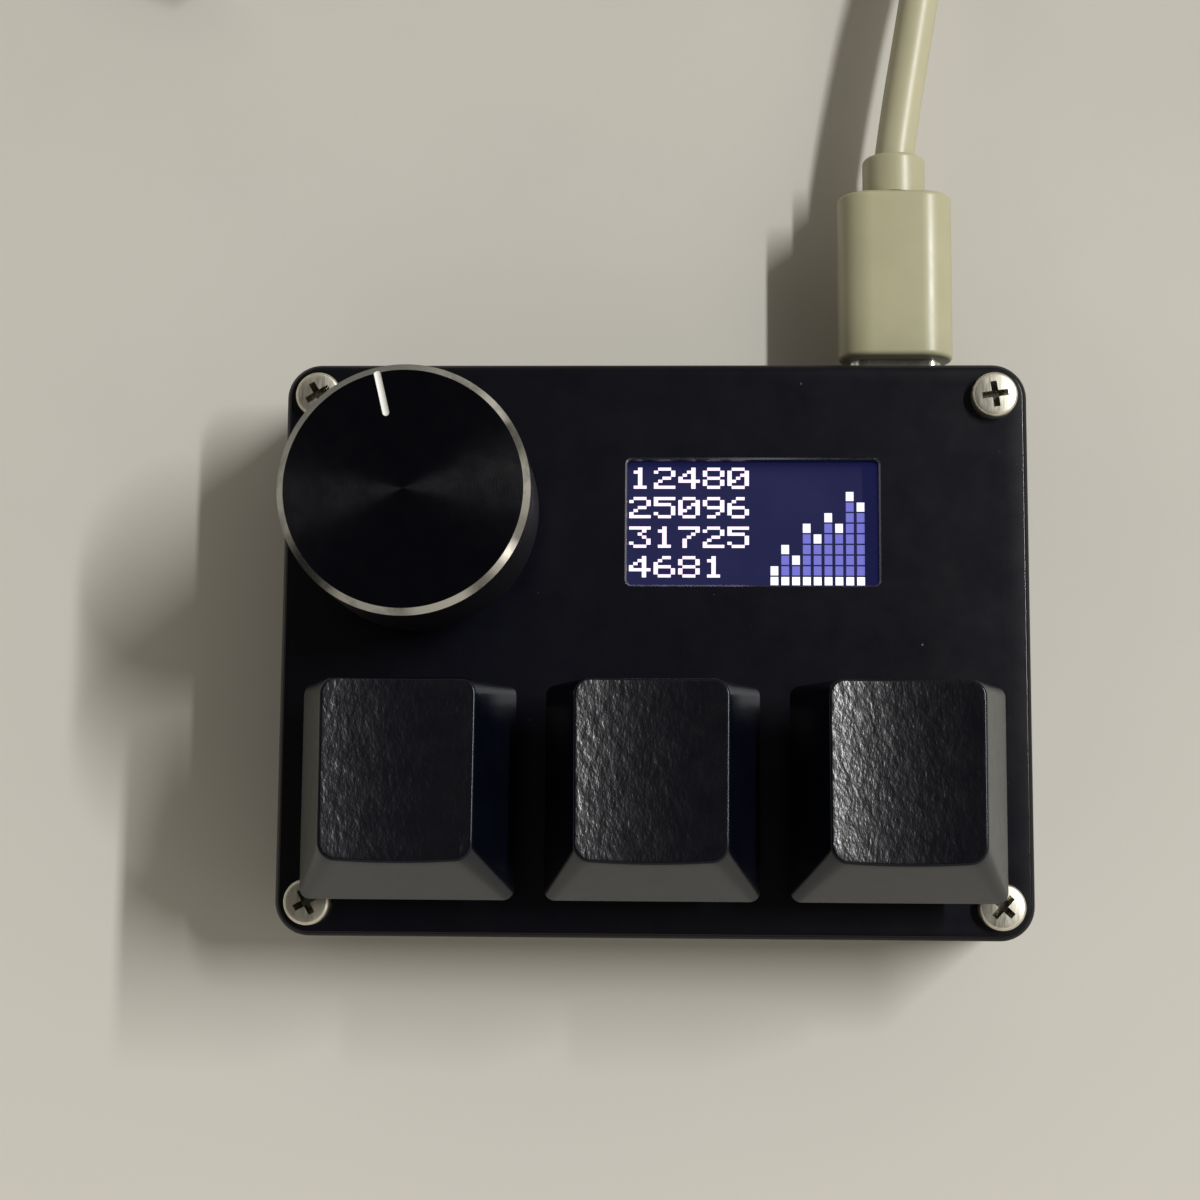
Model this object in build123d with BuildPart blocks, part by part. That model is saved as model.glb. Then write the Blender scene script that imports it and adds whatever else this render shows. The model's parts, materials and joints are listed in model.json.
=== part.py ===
from build123d import *
import math
import os

# A desk keypad with three magnetic key switches, a push-and-turn encoder and a small screen.
# Millimetres. The origin is the centre of the case on the table, +X along the row of keys,
# +Y towards the lead, +Z up.

# ---------------------------------------------------------------- layout, from above
key_names = ("left", "middle", "right")
key_pitch = 20.5
key_side_distance = 12.15
key_front_distance = 12.2
row_spacing = 23.95
back_row_distance = 14.1
knob_side_distance = 12.55
window_side_distance = 24.04
usb_side_distance = 10.82

# ---------------------------------------------------------------- case
plate_thickness = 1.5
plate_corner_radius = 3.0
plate_edge_bevel = 0.4
plate_top_z = 13.3
tray_inset = 0.15
wall_thickness = 2.0
floor_thickness = 2.2
tray_bottom_bevel = 0.5
opening_overrun = 0.5
foot_standoff = 1.2
foot_thickness = 1.8
foot_diameter = 8.0
foot_bevel = 0.4
foot_fit = 0.1
foot_edge_distance = 9.6

# ---------------------------------------------------------------- case screws
screw_edge_distance = 2.9
screw_diameter = 2.0
screw_length = 6.0
screw_head_diameter = 4.0
screw_head_height = 1.2
screw_head_bevel = 0.45
screw_slot_length = 2.1
screw_slot_width = 0.45
screw_slot_depth = 0.6
screw_hole_clearance = 0.15
screw_thread_clearance = 0.03
boss_radius = 3.2
boss_hole_spare_depth = 1.0
ledge_width = 2.0

# ---------------------------------------------------------------- circuit board
board_below_plate_top = 5.0
board_thickness = 1.6
board_clearance = 0.3
processor_size = 7.0
processor_height = 0.9
processor_bevel = 0.12
processor_x = -2.0
processor_y = 3.0
sensor_length = 2.9
sensor_width = 1.5
sensor_height = 1.0

# ---------------------------------------------------------------- key switches
key_travel = 4.0
switch_body = 13.9
switch_hole_fit = 0.05
switch_flange_overhang = 0.85
switch_flange_height = 1.0
switch_height_above_plate = 6.6
switch_stem_above_cover = 3.6
switch_floor = 1.4
switch_wall = 1.4
switch_corner_radius = 0.6
clip_width = 4.0
clip_depth = 0.3
clip_height = 1.2
peg_diameter = 1.9
peg_spacing = 10.16
peg_hole_clearance = 0.1
cover_step = 0.15
cover_rim_x = 1.67
cover_rim_y = 2.12
cover_wall = 0.95
cover_roof = 1.2
slider_width = 7.1
slider_depth = 5.8
slider_fit = 0.08
slider_shoulder_reach = 0.75
slider_shoulder_height = 2.0
slider_rest_gap = 0.05
cross_length = 4.0
cross_arm_x = 1.3
cross_arm_y = 1.1
pole_diameter = 4.2
pole_bottom_gap = 0.15
pole_seat_gap = 0.15
magnet_diameter = 3.0
magnet_length = 2.0
magnet_fit = 0.02
spring_wire = 0.36
spring_turns = 4
spring_seat_wall = 0.3
spring_seat_height = 0.8
spring_seat_fit = 0.1

# ---------------------------------------------------------------- key caps
cap_pressed_gap = 1.68
cap_base = 18.1
cap_base_radius = 0.9
cap_top_width = 12.4
cap_top_depth = 14.62
cap_top_radius = 1.3
cap_top_shift = 1.6
cap_front_height = 8.86
cap_back_height = 8.60
cap_dish_depth = 0.7
cap_wall = 1.45
cap_roof = 1.4
cap_edge_rounding = 0.28
post_slider_gap = 0.23
cross_clearance = 0.02
cross_end_gap = 0.05

# ---------------------------------------------------------------- screen
window_length = 22.07
window_width = 11.13
window_corner_radius = 0.45
window_rim_bevel = 0.15
glass_right_margin = 1.25
glass_left_margin = 1.63
glass_side_margin = 1.085
glass_ledge = 3.0
glass_lower_thickness = 0.5
glass_upper_thickness = 0.4
gasket_thickness = 0.3
gasket_overlap = 0.35
backlight_thickness = 0.8
backlight_corner_radius = 0.4
flex_width = 8.0
flex_thickness = 0.15
flex_bend_radius = 0.7
flex_bonded_length = 1.6
flex_reach = 1.5
flex_end_gap = 0.15
flex_slot_clearance = 0.08
connector_end_wall = 1.0
connector_width = 2.4
connector_height = 1.1

# ---------------------------------------------------------------- encoder
encoder_travel = 0.5
encoder_hole_clearance = 0.25
encoder_frame_length = 12.2
encoder_frame_width = 12.0
encoder_frame_thickness = 1.9
encoder_frame_bevel = 0.3
encoder_height = 6.5
encoder_base_step = 0.2
encoder_floor = 0.35
bushing_wall = 0.47
bushing_length = 7.0
shaft_radius = 3.0
shaft_fit = 0.03
shaft_bevel = 0.3
shaft_end_gap = 0.13
shaft_flat_depth = 1.5
shaft_flat_length = 7.0
neck_radius = 1.8
neck_flat = 1.5
shoulder_gap = 0.15
rotor_radius = 4.5
rotor_fit = 0.05
rotor_shelf_height = 1.25
rotor_top_gap = 0.55
dome_radius = 3.0
dome_height = 0.8
dome_thickness = 0.15
dome_gap = 0.05
dome_vent_radius = 0.3
detent_shaft_gap = 0.15
detent_rim_gap = 0.1
detent_thickness = 0.2
detent_bump_radius = 0.6
strap_width = 2.2
strap_thickness = 0.35
strap_fit = 0.05
strap_below_board = 0.6
pin_width = 0.8
pin_thickness = 0.3
pin_reach = 1.6
pin_pitch = 2.5
pin_below_board = 0.8
pin_exit_height = 1.0
pin_hole_clearance = 0.15

# ---------------------------------------------------------------- knob
knob_radius = 10.3
knob_above_plate = 5.2
knob_top_above_plate = 16.58
knob_ring_width = 0.56
knob_ring_drop = 0.47
knob_bottom_bevel = 0.3
knob_skirt_wall = 1.9
knob_recess_depth = 2.6
knob_bushing_gap = 0.8
knob_end_gap = 0.3
knob_roof = 0.95
pointer_angle = 103.4
pointer_length = 3.65
pointer_width = 0.56
pointer_depth = 0.14
grub_diameter = 3.0
grub_length = 4.0
grub_socket = 1.5
grub_socket_depth = 1.6
grub_fit = 0.03

# ---------------------------------------------------------------- USB-C plug and socket
plug_shell_width = 8.25
plug_shell_height = 2.4
plug_shell_wall = 0.3
plug_shell_length = 6.4
plug_body_width = 10.4
plug_body_height = 6.2
plug_body_length = 15.37
plug_body_radius = 3.0
plug_front_rounding = 0.45
plug_back_rounding = 0.5
plug_behind_plate = 1.75
plug_fit_x = 0.045
plug_fit_z = 0.1
collar_diameter = 5.7
collar_length = 3.68
collar_rounding = 0.4
socket_wall = 0.3
socket_length = 7.35
socket_mouth_recess = 0.2
socket_hole_clearance = 0.2
socket_insert_depth = 1.0
wing_width = 0.8
wing_length = 1.4
wing_front_distance = 3.2
wing_back_distance = 1.2
tongue_side_gap = 0.525
tongue_thickness = 0.7
tongue_length = 4.4
tongue_bevel = 0.14

# ---------------------------------------------------------------- lead and its far end
cable_diameter = 3.6
cable_grip = 0.4
coil_centre_x = 3.5
coil_centre_y = 98.5
coil_mean_radius = 20.0
coil_turns_per_layer = 3.625
coil_layers = 2
coil_bevel = 1.0
usb_a_body_width = 15.7
usb_a_body_height = 8.0
usb_a_body_length = 20.0
usb_a_body_radius = 2.6
usb_a_body_bevel = 0.8
usb_a_shell_width = 12.0
usb_a_shell_height = 4.5
usb_a_shell_length = 12.0
usb_a_shell_wall = 0.3
usb_a_shell_radius = 0.4
usb_a_tongue_thickness = 1.9
usb_a_tongue_recess = 1.0

# ---------------------------------------------------------------- places from above
plate_length = (len(key_names) - 1) * key_pitch + 2 * key_side_distance
plate_width = key_front_distance + row_spacing + back_row_distance
key_positions = [(index - (len(key_names) - 1) / 2) * key_pitch for index in range(len(key_names))]
key_row_y = key_front_distance - plate_width / 2
back_row_y = key_row_y + row_spacing
key_centres = [(x, key_row_y) for x in key_positions]
knob_x = knob_side_distance - plate_length / 2
window_x = plate_length / 2 - window_side_distance
usb_x = plate_length / 2 - usb_side_distance
tray_length = plate_length - 2 * tray_inset
tray_width = plate_width - 2 * tray_inset
cavity_length = tray_length - 2 * wall_thickness
cavity_width = tray_width - 2 * wall_thickness
screw_span_x = plate_length - 2 * screw_edge_distance
screw_span_y = plate_width - 2 * screw_edge_distance
foot_span_x = plate_length - 2 * foot_edge_distance
foot_span_y = plate_width - 2 * foot_edge_distance
rear_face_y = plate_width / 2 - tray_inset
socket_mouth_y = rear_face_y - socket_mouth_recess
socket_back_y = socket_mouth_y - socket_length
plug_front_y = plate_width / 2 + plug_behind_plate
plug_back_y = plug_front_y + plug_body_length

# ---------------------------------------------------------------- fitted sizes
switch_hole = switch_body + 2 * switch_hole_fit
switch_flange = switch_body + 2 * switch_flange_overhang
cover_base = switch_body - 2 * cover_step
cover_top_width = slider_width + 2 * slider_fit + 2 * cover_rim_x
cover_top_depth = slider_depth + 2 * slider_fit + 2 * cover_rim_y
slider_shoulder_width = slider_width + 2 * slider_shoulder_reach
spring_seat_inner_radius = pole_diameter / 2 + pole_seat_gap
post_diameter = slider_depth + 2 * slider_fit - 2 * post_slider_gap
socket_inner_width = plug_shell_width + 2 * plug_fit_x
socket_inner_height = plug_shell_height + 2 * plug_fit_z
socket_width = socket_inner_width + 2 * socket_wall
socket_height = socket_inner_height + 2 * socket_wall
tongue_width = plug_shell_width - 2 * plug_shell_wall - 2 * tongue_side_gap
wing_reach = socket_width / 2 + socket_hole_clearance + wing_width
upper_glass_length = glass_left_margin + window_length + glass_right_margin
glass_length = upper_glass_length + glass_ledge
glass_width = window_width + 2 * glass_side_margin
encoder_base_length = encoder_frame_length - 2 * strap_thickness - 2 * strap_fit
encoder_base_width = encoder_frame_width - 2 * encoder_base_step
bushing_radius = shaft_radius + shaft_fit + bushing_wall
detent_inner_radius = shaft_radius + detent_shaft_gap
detent_outer_radius = rotor_radius - detent_rim_gap
knob_recess_radius = knob_radius - knob_skirt_wall

# ---------------------------------------------------------------- levels
plate_bottom_z = plate_top_z - plate_thickness
tray_bottom_z = foot_standoff
tray_floor_z = tray_bottom_z + floor_thickness
board_top_z = plate_top_z - board_below_plate_top
board_bottom_z = board_top_z - board_thickness
cover_top_z = plate_top_z + switch_height_above_plate
flange_top_z = plate_top_z + switch_flange_height
switch_floor_z = board_top_z + switch_floor
slider_shoulder_top_z = cover_top_z - cover_roof - slider_rest_gap
slider_shoulder_z = slider_shoulder_top_z - slider_shoulder_height
pole_bottom_z = switch_floor_z + key_travel + pole_bottom_gap
cap_skirt_z = plate_top_z + key_travel + cap_pressed_gap
encoder_top_z = board_top_z + encoder_height
encoder_frame_z = encoder_top_z - encoder_frame_thickness
encoder_floor_z = board_top_z + encoder_floor
rotor_bottom_z = encoder_floor_z + rotor_shelf_height + rotor_fit
rotor_top_z = encoder_frame_z - rotor_top_gap
bushing_top_z = encoder_top_z + bushing_length
neck_bottom_z = encoder_floor_z + dome_height + dome_gap
shaft_shoulder_z = rotor_top_z + encoder_travel + shoulder_gap
knob_bottom_z = plate_top_z + knob_above_plate
knob_top_z = plate_top_z + knob_top_above_plate
knob_bore_bottom_z = bushing_top_z + encoder_travel + knob_end_gap
knob_bore_top_z = knob_top_z - knob_roof
shaft_top_z = knob_bore_top_z - shaft_end_gap
grub_z = (knob_bore_bottom_z + shaft_top_z) / 2
# The socket stands in a notch of the board, flush with the board's upper face.
usb_z = board_top_z - socket_height / 2

os.makedirs("parts", exist_ok=True)


def save(piece, name):
    """Labels a finished piece and writes its STEP file."""
    piece.label = name
    export_step(piece, f"parts/{name}.step")


# ================================================================ case
pocket_depth = cavity_width / 2 - socket_back_y + socket_hole_clearance

with BuildPart() as case_tray:
    with BuildSketch(Plane.XY.offset(tray_bottom_z)):
        RectangleRounded(tray_length, tray_width, plate_corner_radius - tray_inset)
    extrude(amount=plate_bottom_z - tray_bottom_z)
    chamfer(case_tray.faces().sort_by(Axis.Z)[0].edges(), tray_bottom_bevel)
    # The hollow leaves a ledge under each corner of the board and a boss for each screw.
    for level, next_level, corner in (
        (tray_floor_z, board_bottom_z, boss_radius + ledge_width),
        (board_bottom_z, plate_bottom_z, boss_radius),
    ):
        with BuildSketch(Plane.XY.offset(level)):
            Rectangle(cavity_length, cavity_width)
            with GridLocations(screw_span_x, screw_span_y, 2, 2):
                Circle(corner, mode=Mode.SUBTRACT)
        extrude(amount=next_level - level, mode=Mode.SUBTRACT)
    # The switches and the socket pass the bosses and ledges beside them with a clearance.
    with BuildSketch(Plane.XY.offset(plate_bottom_z)):
        with Locations(*key_centres):
            Rectangle(switch_body + 2 * board_clearance, switch_body + 2 * board_clearance)
    extrude(amount=board_bottom_z - plate_bottom_z, mode=Mode.SUBTRACT)
    for level, half_width in (
        (board_top_z + board_clearance, socket_width / 2 + socket_hole_clearance),
        (board_bottom_z, wing_reach + socket_hole_clearance),
    ):
        with BuildSketch(Plane.XY.offset(level)):
            with Locations((usb_x, (cavity_width - pocket_depth) / 2)):
                Rectangle(2 * half_width, pocket_depth)
        extrude(amount=tray_floor_z - level, mode=Mode.SUBTRACT)
    with BuildSketch(Plane.XY.offset(plate_bottom_z)):
        with GridLocations(screw_span_x, screw_span_y, 2, 2):
            Circle(screw_diameter / 2 + screw_thread_clearance)
    extrude(
        amount=-(screw_length - plate_thickness + boss_hole_spare_depth),
        mode=Mode.SUBTRACT,
    )
    with BuildSketch(Plane.XY.offset(tray_bottom_z)):
        with GridLocations(foot_span_x, foot_span_y, 2, 2):
            Circle(foot_diameter / 2 + foot_fit)
    extrude(amount=foot_thickness - foot_standoff, mode=Mode.SUBTRACT)
    # Opening for the plug in the back wall.
    with BuildSketch(Plane.XZ.offset(-rear_face_y - opening_overrun)):
        with Locations((usb_x, usb_z)):
            SlotOverall(
                socket_width + 2 * socket_hole_clearance,
                socket_height + 2 * socket_hole_clearance,
            )
    extrude(amount=wall_thickness + 2 * opening_overrun, mode=Mode.SUBTRACT)
save(case_tray.part, "case_tray")

with BuildPart() as top_plate:
    with BuildSketch(Plane.XY.offset(plate_bottom_z)):
        RectangleRounded(plate_length, plate_width, plate_corner_radius)
        with Locations(*key_centres):
            Rectangle(switch_hole, switch_hole, mode=Mode.SUBTRACT)
        with Locations((knob_x, back_row_y)):
            Rectangle(
                encoder_frame_length + 2 * encoder_hole_clearance,
                encoder_frame_width + 2 * encoder_hole_clearance,
                mode=Mode.SUBTRACT,
            )
        with Locations((window_x, back_row_y)):
            RectangleRounded(
                window_length, window_width, window_corner_radius, mode=Mode.SUBTRACT
            )
        with GridLocations(screw_span_x, screw_span_y, 2, 2):
            Circle(screw_diameter / 2 + screw_hole_clearance, mode=Mode.SUBTRACT)
    extrude(amount=plate_thickness)
    chamfer(top_plate.faces().sort_by(Axis.Z)[-1].outer_wire().edges(), plate_edge_bevel)
    openings = top_plate.faces().sort_by(Axis.Z)[-1].inner_wires()
    window_rim = openings.sort_by_distance((window_x, back_row_y, plate_top_z))[0]
    chamfer(window_rim.edges(), window_rim_bevel)
save(top_plate.part, "top_plate")

with BuildPart() as plate_screws:
    with BuildSketch(Plane.XY.offset(plate_top_z)):
        with GridLocations(screw_span_x, screw_span_y, 2, 2):
            Circle(screw_head_diameter / 2)
    extrude(amount=screw_head_height)
    chamfer(plate_screws.edges().group_by(Axis.Z)[-1], screw_head_bevel)
    with BuildSketch(Plane.XY.offset(plate_top_z)):
        with GridLocations(screw_span_x, screw_span_y, 2, 2):
            Circle(screw_diameter / 2)
    extrude(amount=-screw_length)
    with BuildSketch(Plane.XY.offset(plate_top_z + screw_head_height)):
        with GridLocations(screw_span_x, screw_span_y, 2, 2):
            Rectangle(screw_slot_length, screw_slot_width)
            Rectangle(screw_slot_width, screw_slot_length)
    extrude(amount=-screw_slot_depth, mode=Mode.SUBTRACT)
save(plate_screws.part, "plate_screws")

with BuildPart() as rubber_feet:
    with BuildSketch():
        with GridLocations(foot_span_x, foot_span_y, 2, 2):
            Circle(foot_diameter / 2)
    extrude(amount=foot_thickness)
    chamfer(rubber_feet.edges().group_by(Axis.Z)[0], foot_bevel)
save(rubber_feet.part, "rubber_feet")

# ================================================================ circuit board
socket_notch_width = socket_width + 2 * socket_hole_clearance
socket_notch_depth = cavity_width / 2 - board_clearance - socket_back_y
strap_x = (encoder_frame_length - strap_thickness) / 2
pin_row_offset = encoder_base_width / 2 + pin_reach
signal_pins = [(knob_x + step * pin_pitch, back_row_y - pin_row_offset) for step in (-1, 0, 1)]
button_pins = [(knob_x + step * pin_pitch, back_row_y + pin_row_offset) for step in (-1, 1)]

with BuildPart() as circuit_board:
    with BuildSketch(Plane.XY.offset(board_bottom_z)):
        Rectangle(cavity_length - 2 * board_clearance, cavity_width - 2 * board_clearance)
        with GridLocations(screw_span_x, screw_span_y, 2, 2):
            Circle(boss_radius + board_clearance, mode=Mode.SUBTRACT)
        with Locations((usb_x, cavity_width / 2 - board_clearance - socket_notch_depth / 2)):
            Rectangle(socket_notch_width, socket_notch_depth, mode=Mode.SUBTRACT)
        for centre in key_centres:
            with Locations(centre):
                with GridLocations(peg_spacing, 0, 2, 1):
                    Circle(peg_diameter / 2 + peg_hole_clearance, mode=Mode.SUBTRACT)
        with Locations((knob_x, back_row_y)):
            with GridLocations(2 * strap_x, 0, 2, 1):
                Rectangle(
                    strap_thickness + 2 * pin_hole_clearance,
                    strap_width + 2 * pin_hole_clearance,
                    mode=Mode.SUBTRACT,
                )
        with Locations(*signal_pins, *button_pins):
            Rectangle(
                pin_width + 2 * pin_hole_clearance,
                pin_thickness + 2 * pin_hole_clearance,
                mode=Mode.SUBTRACT,
            )
    extrude(amount=board_thickness)
save(circuit_board.part, "circuit_board")

with BuildPart() as processor_chip:
    with BuildSketch(Plane.XY.offset(board_bottom_z)):
        with Locations((processor_x, processor_y)):
            Rectangle(processor_size, processor_size)
    extrude(amount=-processor_height)
    chamfer(processor_chip.faces().sort_by(Axis.Z)[0].edges(), processor_bevel)
save(processor_chip.part, "processor_chip")

with BuildPart() as magnet_sensors:
    with BuildSketch(Plane.XY.offset(board_bottom_z)):
        with Locations(*key_centres):
            Rectangle(sensor_length, sensor_width)
    extrude(amount=-sensor_height)
save(magnet_sensors.part, "magnet_sensors")

# Small parts on the underside of the board: x and y from the middle of the processor or of the
# socket's back edge, then length, width and height.
processor_parts = (
    (10.0, 1.0, 5.0, 4.0, 1.4),
    (-7.0, 2.5, 3.2, 2.5, 0.8),
    (-6.0, -4.0, 1.6, 0.8, 0.5),
    (0.0, -5.6, 1.6, 0.8, 0.5),
    (5.8, -4.5, 1.6, 0.8, 0.5),
    (5.8, 5.0, 1.6, 0.8, 0.5),
)
socket_parts = (
    (-1.8, -3.6, 2.9, 1.6, 1.1),
    (3.2, -3.6, 2.0, 1.25, 0.8),
    (-6.6, -3.6, 2.0, 1.25, 0.8),
)

with BuildPart() as board_components:
    for anchor_x, anchor_y, small_parts in (
        (processor_x, processor_y, processor_parts),
        (usb_x, socket_back_y, socket_parts),
    ):
        for x, y, length, width, height in small_parts:
            with BuildSketch(Plane.XY.offset(board_bottom_z)):
                with Locations((anchor_x + x, anchor_y + y)):
                    Rectangle(length, width)
            extrude(amount=-height)
save(board_components.part, "board_components")

# ================================================================ USB-C socket
socket_plane = Plane.XZ.offset(-socket_mouth_y).shift_origin((usb_x, socket_mouth_y, usb_z))
insert_y = socket_back_y + socket_insert_depth
insert_plane = Plane.XZ.offset(-insert_y).shift_origin((usb_x, insert_y, usb_z))

with BuildPart() as usb_socket_shell:
    with BuildSketch(socket_plane):
        SlotOverall(socket_width, socket_height)
        SlotOverall(socket_inner_width, socket_inner_height, mode=Mode.SUBTRACT)
    extrude(amount=socket_length)
    # Side wings that are soldered to the underside of the board.
    for wing_y in (socket_mouth_y - wing_front_distance, socket_back_y + wing_back_distance):
        with BuildSketch(Plane.XY.offset(board_bottom_z)):
            with Locations((usb_x, wing_y)):
                Rectangle(2 * wing_reach, wing_length)
                Rectangle(socket_width - socket_wall, wing_length, mode=Mode.SUBTRACT)
        extrude(amount=-socket_wall)
save(usb_socket_shell.part, "usb_socket_shell")

with BuildPart() as usb_socket_tongue:
    with BuildSketch(insert_plane):
        SlotOverall(socket_inner_width, socket_inner_height)
    extrude(amount=socket_insert_depth)
    with BuildSketch(insert_plane):
        Rectangle(tongue_width, tongue_thickness)
    extrude(amount=-tongue_length)
    chamfer(usb_socket_tongue.faces().sort_by(Axis.Y)[-1].edges(), tongue_bevel)
save(usb_socket_tongue.part, "usb_socket_tongue")

# ================================================================ screen
gasket_z = plate_bottom_z - gasket_thickness
glass_top_z = gasket_z
glass_step_z = glass_top_z - glass_upper_thickness
glass_bottom_z = glass_step_z - glass_lower_thickness
backlight_z = glass_bottom_z - backlight_thickness
glass_right_x = window_x + window_length / 2 + glass_right_margin
glass_left_x = glass_right_x - glass_length
glass_centre_x = (glass_left_x + glass_right_x) / 2
upper_glass_x = glass_right_x - upper_glass_length / 2

with BuildPart() as screen_gasket:
    with BuildSketch(Plane.XY.offset(gasket_z)):
        with Locations((upper_glass_x, back_row_y)):
            Rectangle(upper_glass_length, glass_width)
        with Locations((window_x, back_row_y)):
            Rectangle(
                window_length + 2 * gasket_overlap,
                window_width + 2 * gasket_overlap,
                mode=Mode.SUBTRACT,
            )
    extrude(amount=gasket_thickness)
save(screen_gasket.part, "screen_gasket")

with BuildPart() as screen_glass:
    with BuildSketch(Plane.XY.offset(glass_bottom_z)):
        with Locations((glass_centre_x, back_row_y)):
            Rectangle(glass_length, glass_width)
    extrude(amount=glass_lower_thickness)
    with BuildSketch(Plane.XY.offset(glass_step_z)):
        with Locations((upper_glass_x, back_row_y)):
            Rectangle(upper_glass_length, glass_width)
    extrude(amount=glass_upper_thickness)
save(screen_glass.part, "screen_glass")

with BuildPart() as screen_backlight:
    with BuildSketch(Plane.XY.offset(backlight_z)):
        with Locations((glass_centre_x, back_row_y)):
            RectangleRounded(glass_length, glass_width, backlight_corner_radius)
    extrude(amount=backlight_thickness)
save(screen_backlight.part, "screen_backlight")

with BuildPart() as screen_pad:
    with BuildSketch(Plane.XY.offset(board_top_z)):
        with Locations((upper_glass_x, back_row_y)):
            Rectangle(upper_glass_length, glass_width)
    extrude(amount=backlight_z - board_top_z)
save(screen_pad.part, "screen_pad")

connector_x = glass_left_x - flex_reach + connector_width / 2
flex_top_z = glass_step_z + flex_thickness / 2
flex_low_z = board_top_z + connector_height / 2

with BuildPart() as screen_connector:
    with BuildSketch(Plane.XY.offset(board_top_z)):
        with Locations((connector_x, back_row_y)):
            Rectangle(connector_width, flex_width + 2 * connector_end_wall)
    extrude(amount=connector_height)
    with BuildSketch(Plane.YZ.offset(connector_x - connector_width / 2)):
        with Locations((back_row_y, flex_low_z)):
            Rectangle(flex_width + 2 * flex_slot_clearance, 2 * flex_thickness)
    extrude(amount=connector_width / 2, mode=Mode.SUBTRACT)
save(screen_connector.part, "screen_connector")

with BuildPart() as screen_flex:
    with BuildSketch(Plane.XZ.offset(-back_row_y - flex_width / 2)):
        with BuildLine():
            FilletPolyline(
                (glass_left_x + flex_bonded_length, flex_top_z),
                (glass_left_x - flex_reach - flex_bend_radius, flex_top_z),
                (glass_left_x - flex_reach - flex_bend_radius, flex_low_z),
                (connector_x - flex_end_gap, flex_low_z),
                radius=flex_bend_radius,
            )
        trace(line_width=flex_thickness)
    extrude(amount=flex_width)
save(screen_flex.part, "screen_flex")


# ================================================================ key switches
def build_switch_base(name, x):
    """Lower half of a switch housing: it sits in the plate and stands on the board."""
    with BuildPart() as base:
        with BuildSketch(Plane.XY.offset(board_top_z)):
            with Locations((x, key_row_y)):
                Rectangle(switch_body, switch_body)
        extrude(amount=board_below_plate_top)
        with BuildSketch(Plane.XY.offset(plate_top_z)):
            with Locations((x, key_row_y)):
                RectangleRounded(switch_flange, switch_flange, switch_corner_radius)
        extrude(amount=switch_flange_height)
        cavity = switch_body - 2 * switch_wall
        with BuildSketch(Plane.XY.offset(switch_floor_z)):
            with Locations((x, key_row_y)):
                Rectangle(cavity, cavity)
                Circle(spring_seat_inner_radius + spring_seat_wall, mode=Mode.SUBTRACT)
        extrude(amount=spring_seat_height, mode=Mode.SUBTRACT)
        with BuildSketch(Plane.XY.offset(switch_floor_z)):
            with Locations((x, key_row_y)):
                Circle(spring_seat_inner_radius)
        extrude(amount=spring_seat_height, mode=Mode.SUBTRACT)
        with BuildSketch(Plane.XY.offset(switch_floor_z + spring_seat_height)):
            with Locations((x, key_row_y)):
                Rectangle(cavity, cavity)
        extrude(
            amount=flange_top_z - switch_floor_z - spring_seat_height,
            mode=Mode.SUBTRACT,
        )
        # Snap clips that hold under the plate, front and back.
        for side in (-1, 1):
            face_y = key_row_y + side * switch_body / 2
            with BuildSketch(Plane.YZ.offset(x - clip_width / 2)):
                with BuildLine():
                    Polyline(
                        (face_y, plate_bottom_z),
                        (face_y + side * clip_depth, plate_bottom_z),
                        (face_y, plate_bottom_z - clip_height),
                        close=True,
                    )
                make_face()
            extrude(amount=clip_width)
        with BuildSketch(Plane.XY.offset(board_top_z)):
            with Locations((x, key_row_y)):
                with GridLocations(peg_spacing, 0, 2, 1):
                    Circle(peg_diameter / 2)
        extrude(amount=-board_thickness)
    save(base.part, f"switch_base_{name}")


def build_switch_cover(name, x):
    """Upper half of a switch housing: a tapered hood with the slider's opening."""
    cover_height = cover_top_z - flange_top_z
    roof_share = (cover_height - cover_roof) / cover_height
    roof_width = cover_base + (cover_top_width - cover_base) * roof_share
    roof_depth = cover_base + (cover_top_depth - cover_base) * roof_share
    with BuildPart() as cover:
        with BuildSketch(Plane.XY.offset(flange_top_z)):
            with Locations((x, key_row_y)):
                RectangleRounded(cover_base, cover_base, switch_corner_radius)
        with BuildSketch(Plane.XY.offset(cover_top_z)):
            with Locations((x, key_row_y)):
                RectangleRounded(cover_top_width, cover_top_depth, switch_corner_radius)
        loft(ruled=True)
        with BuildSketch(Plane.XY.offset(flange_top_z)):
            with Locations((x, key_row_y)):
                Rectangle(cover_base - 2 * cover_wall, cover_base - 2 * cover_wall)
        with BuildSketch(Plane.XY.offset(cover_top_z - cover_roof)):
            with Locations((x, key_row_y)):
                Rectangle(roof_width - 2 * cover_wall, roof_depth - 2 * cover_wall)
        loft(ruled=True, mode=Mode.SUBTRACT)
        with BuildSketch(Plane.XY.offset(cover_top_z)):
            with Locations((x, key_row_y)):
                Rectangle(slider_width + 2 * slider_fit, slider_depth + 2 * slider_fit)
        extrude(amount=-cover_roof, mode=Mode.SUBTRACT)
    save(cover.part, f"switch_cover_{name}")


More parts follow.
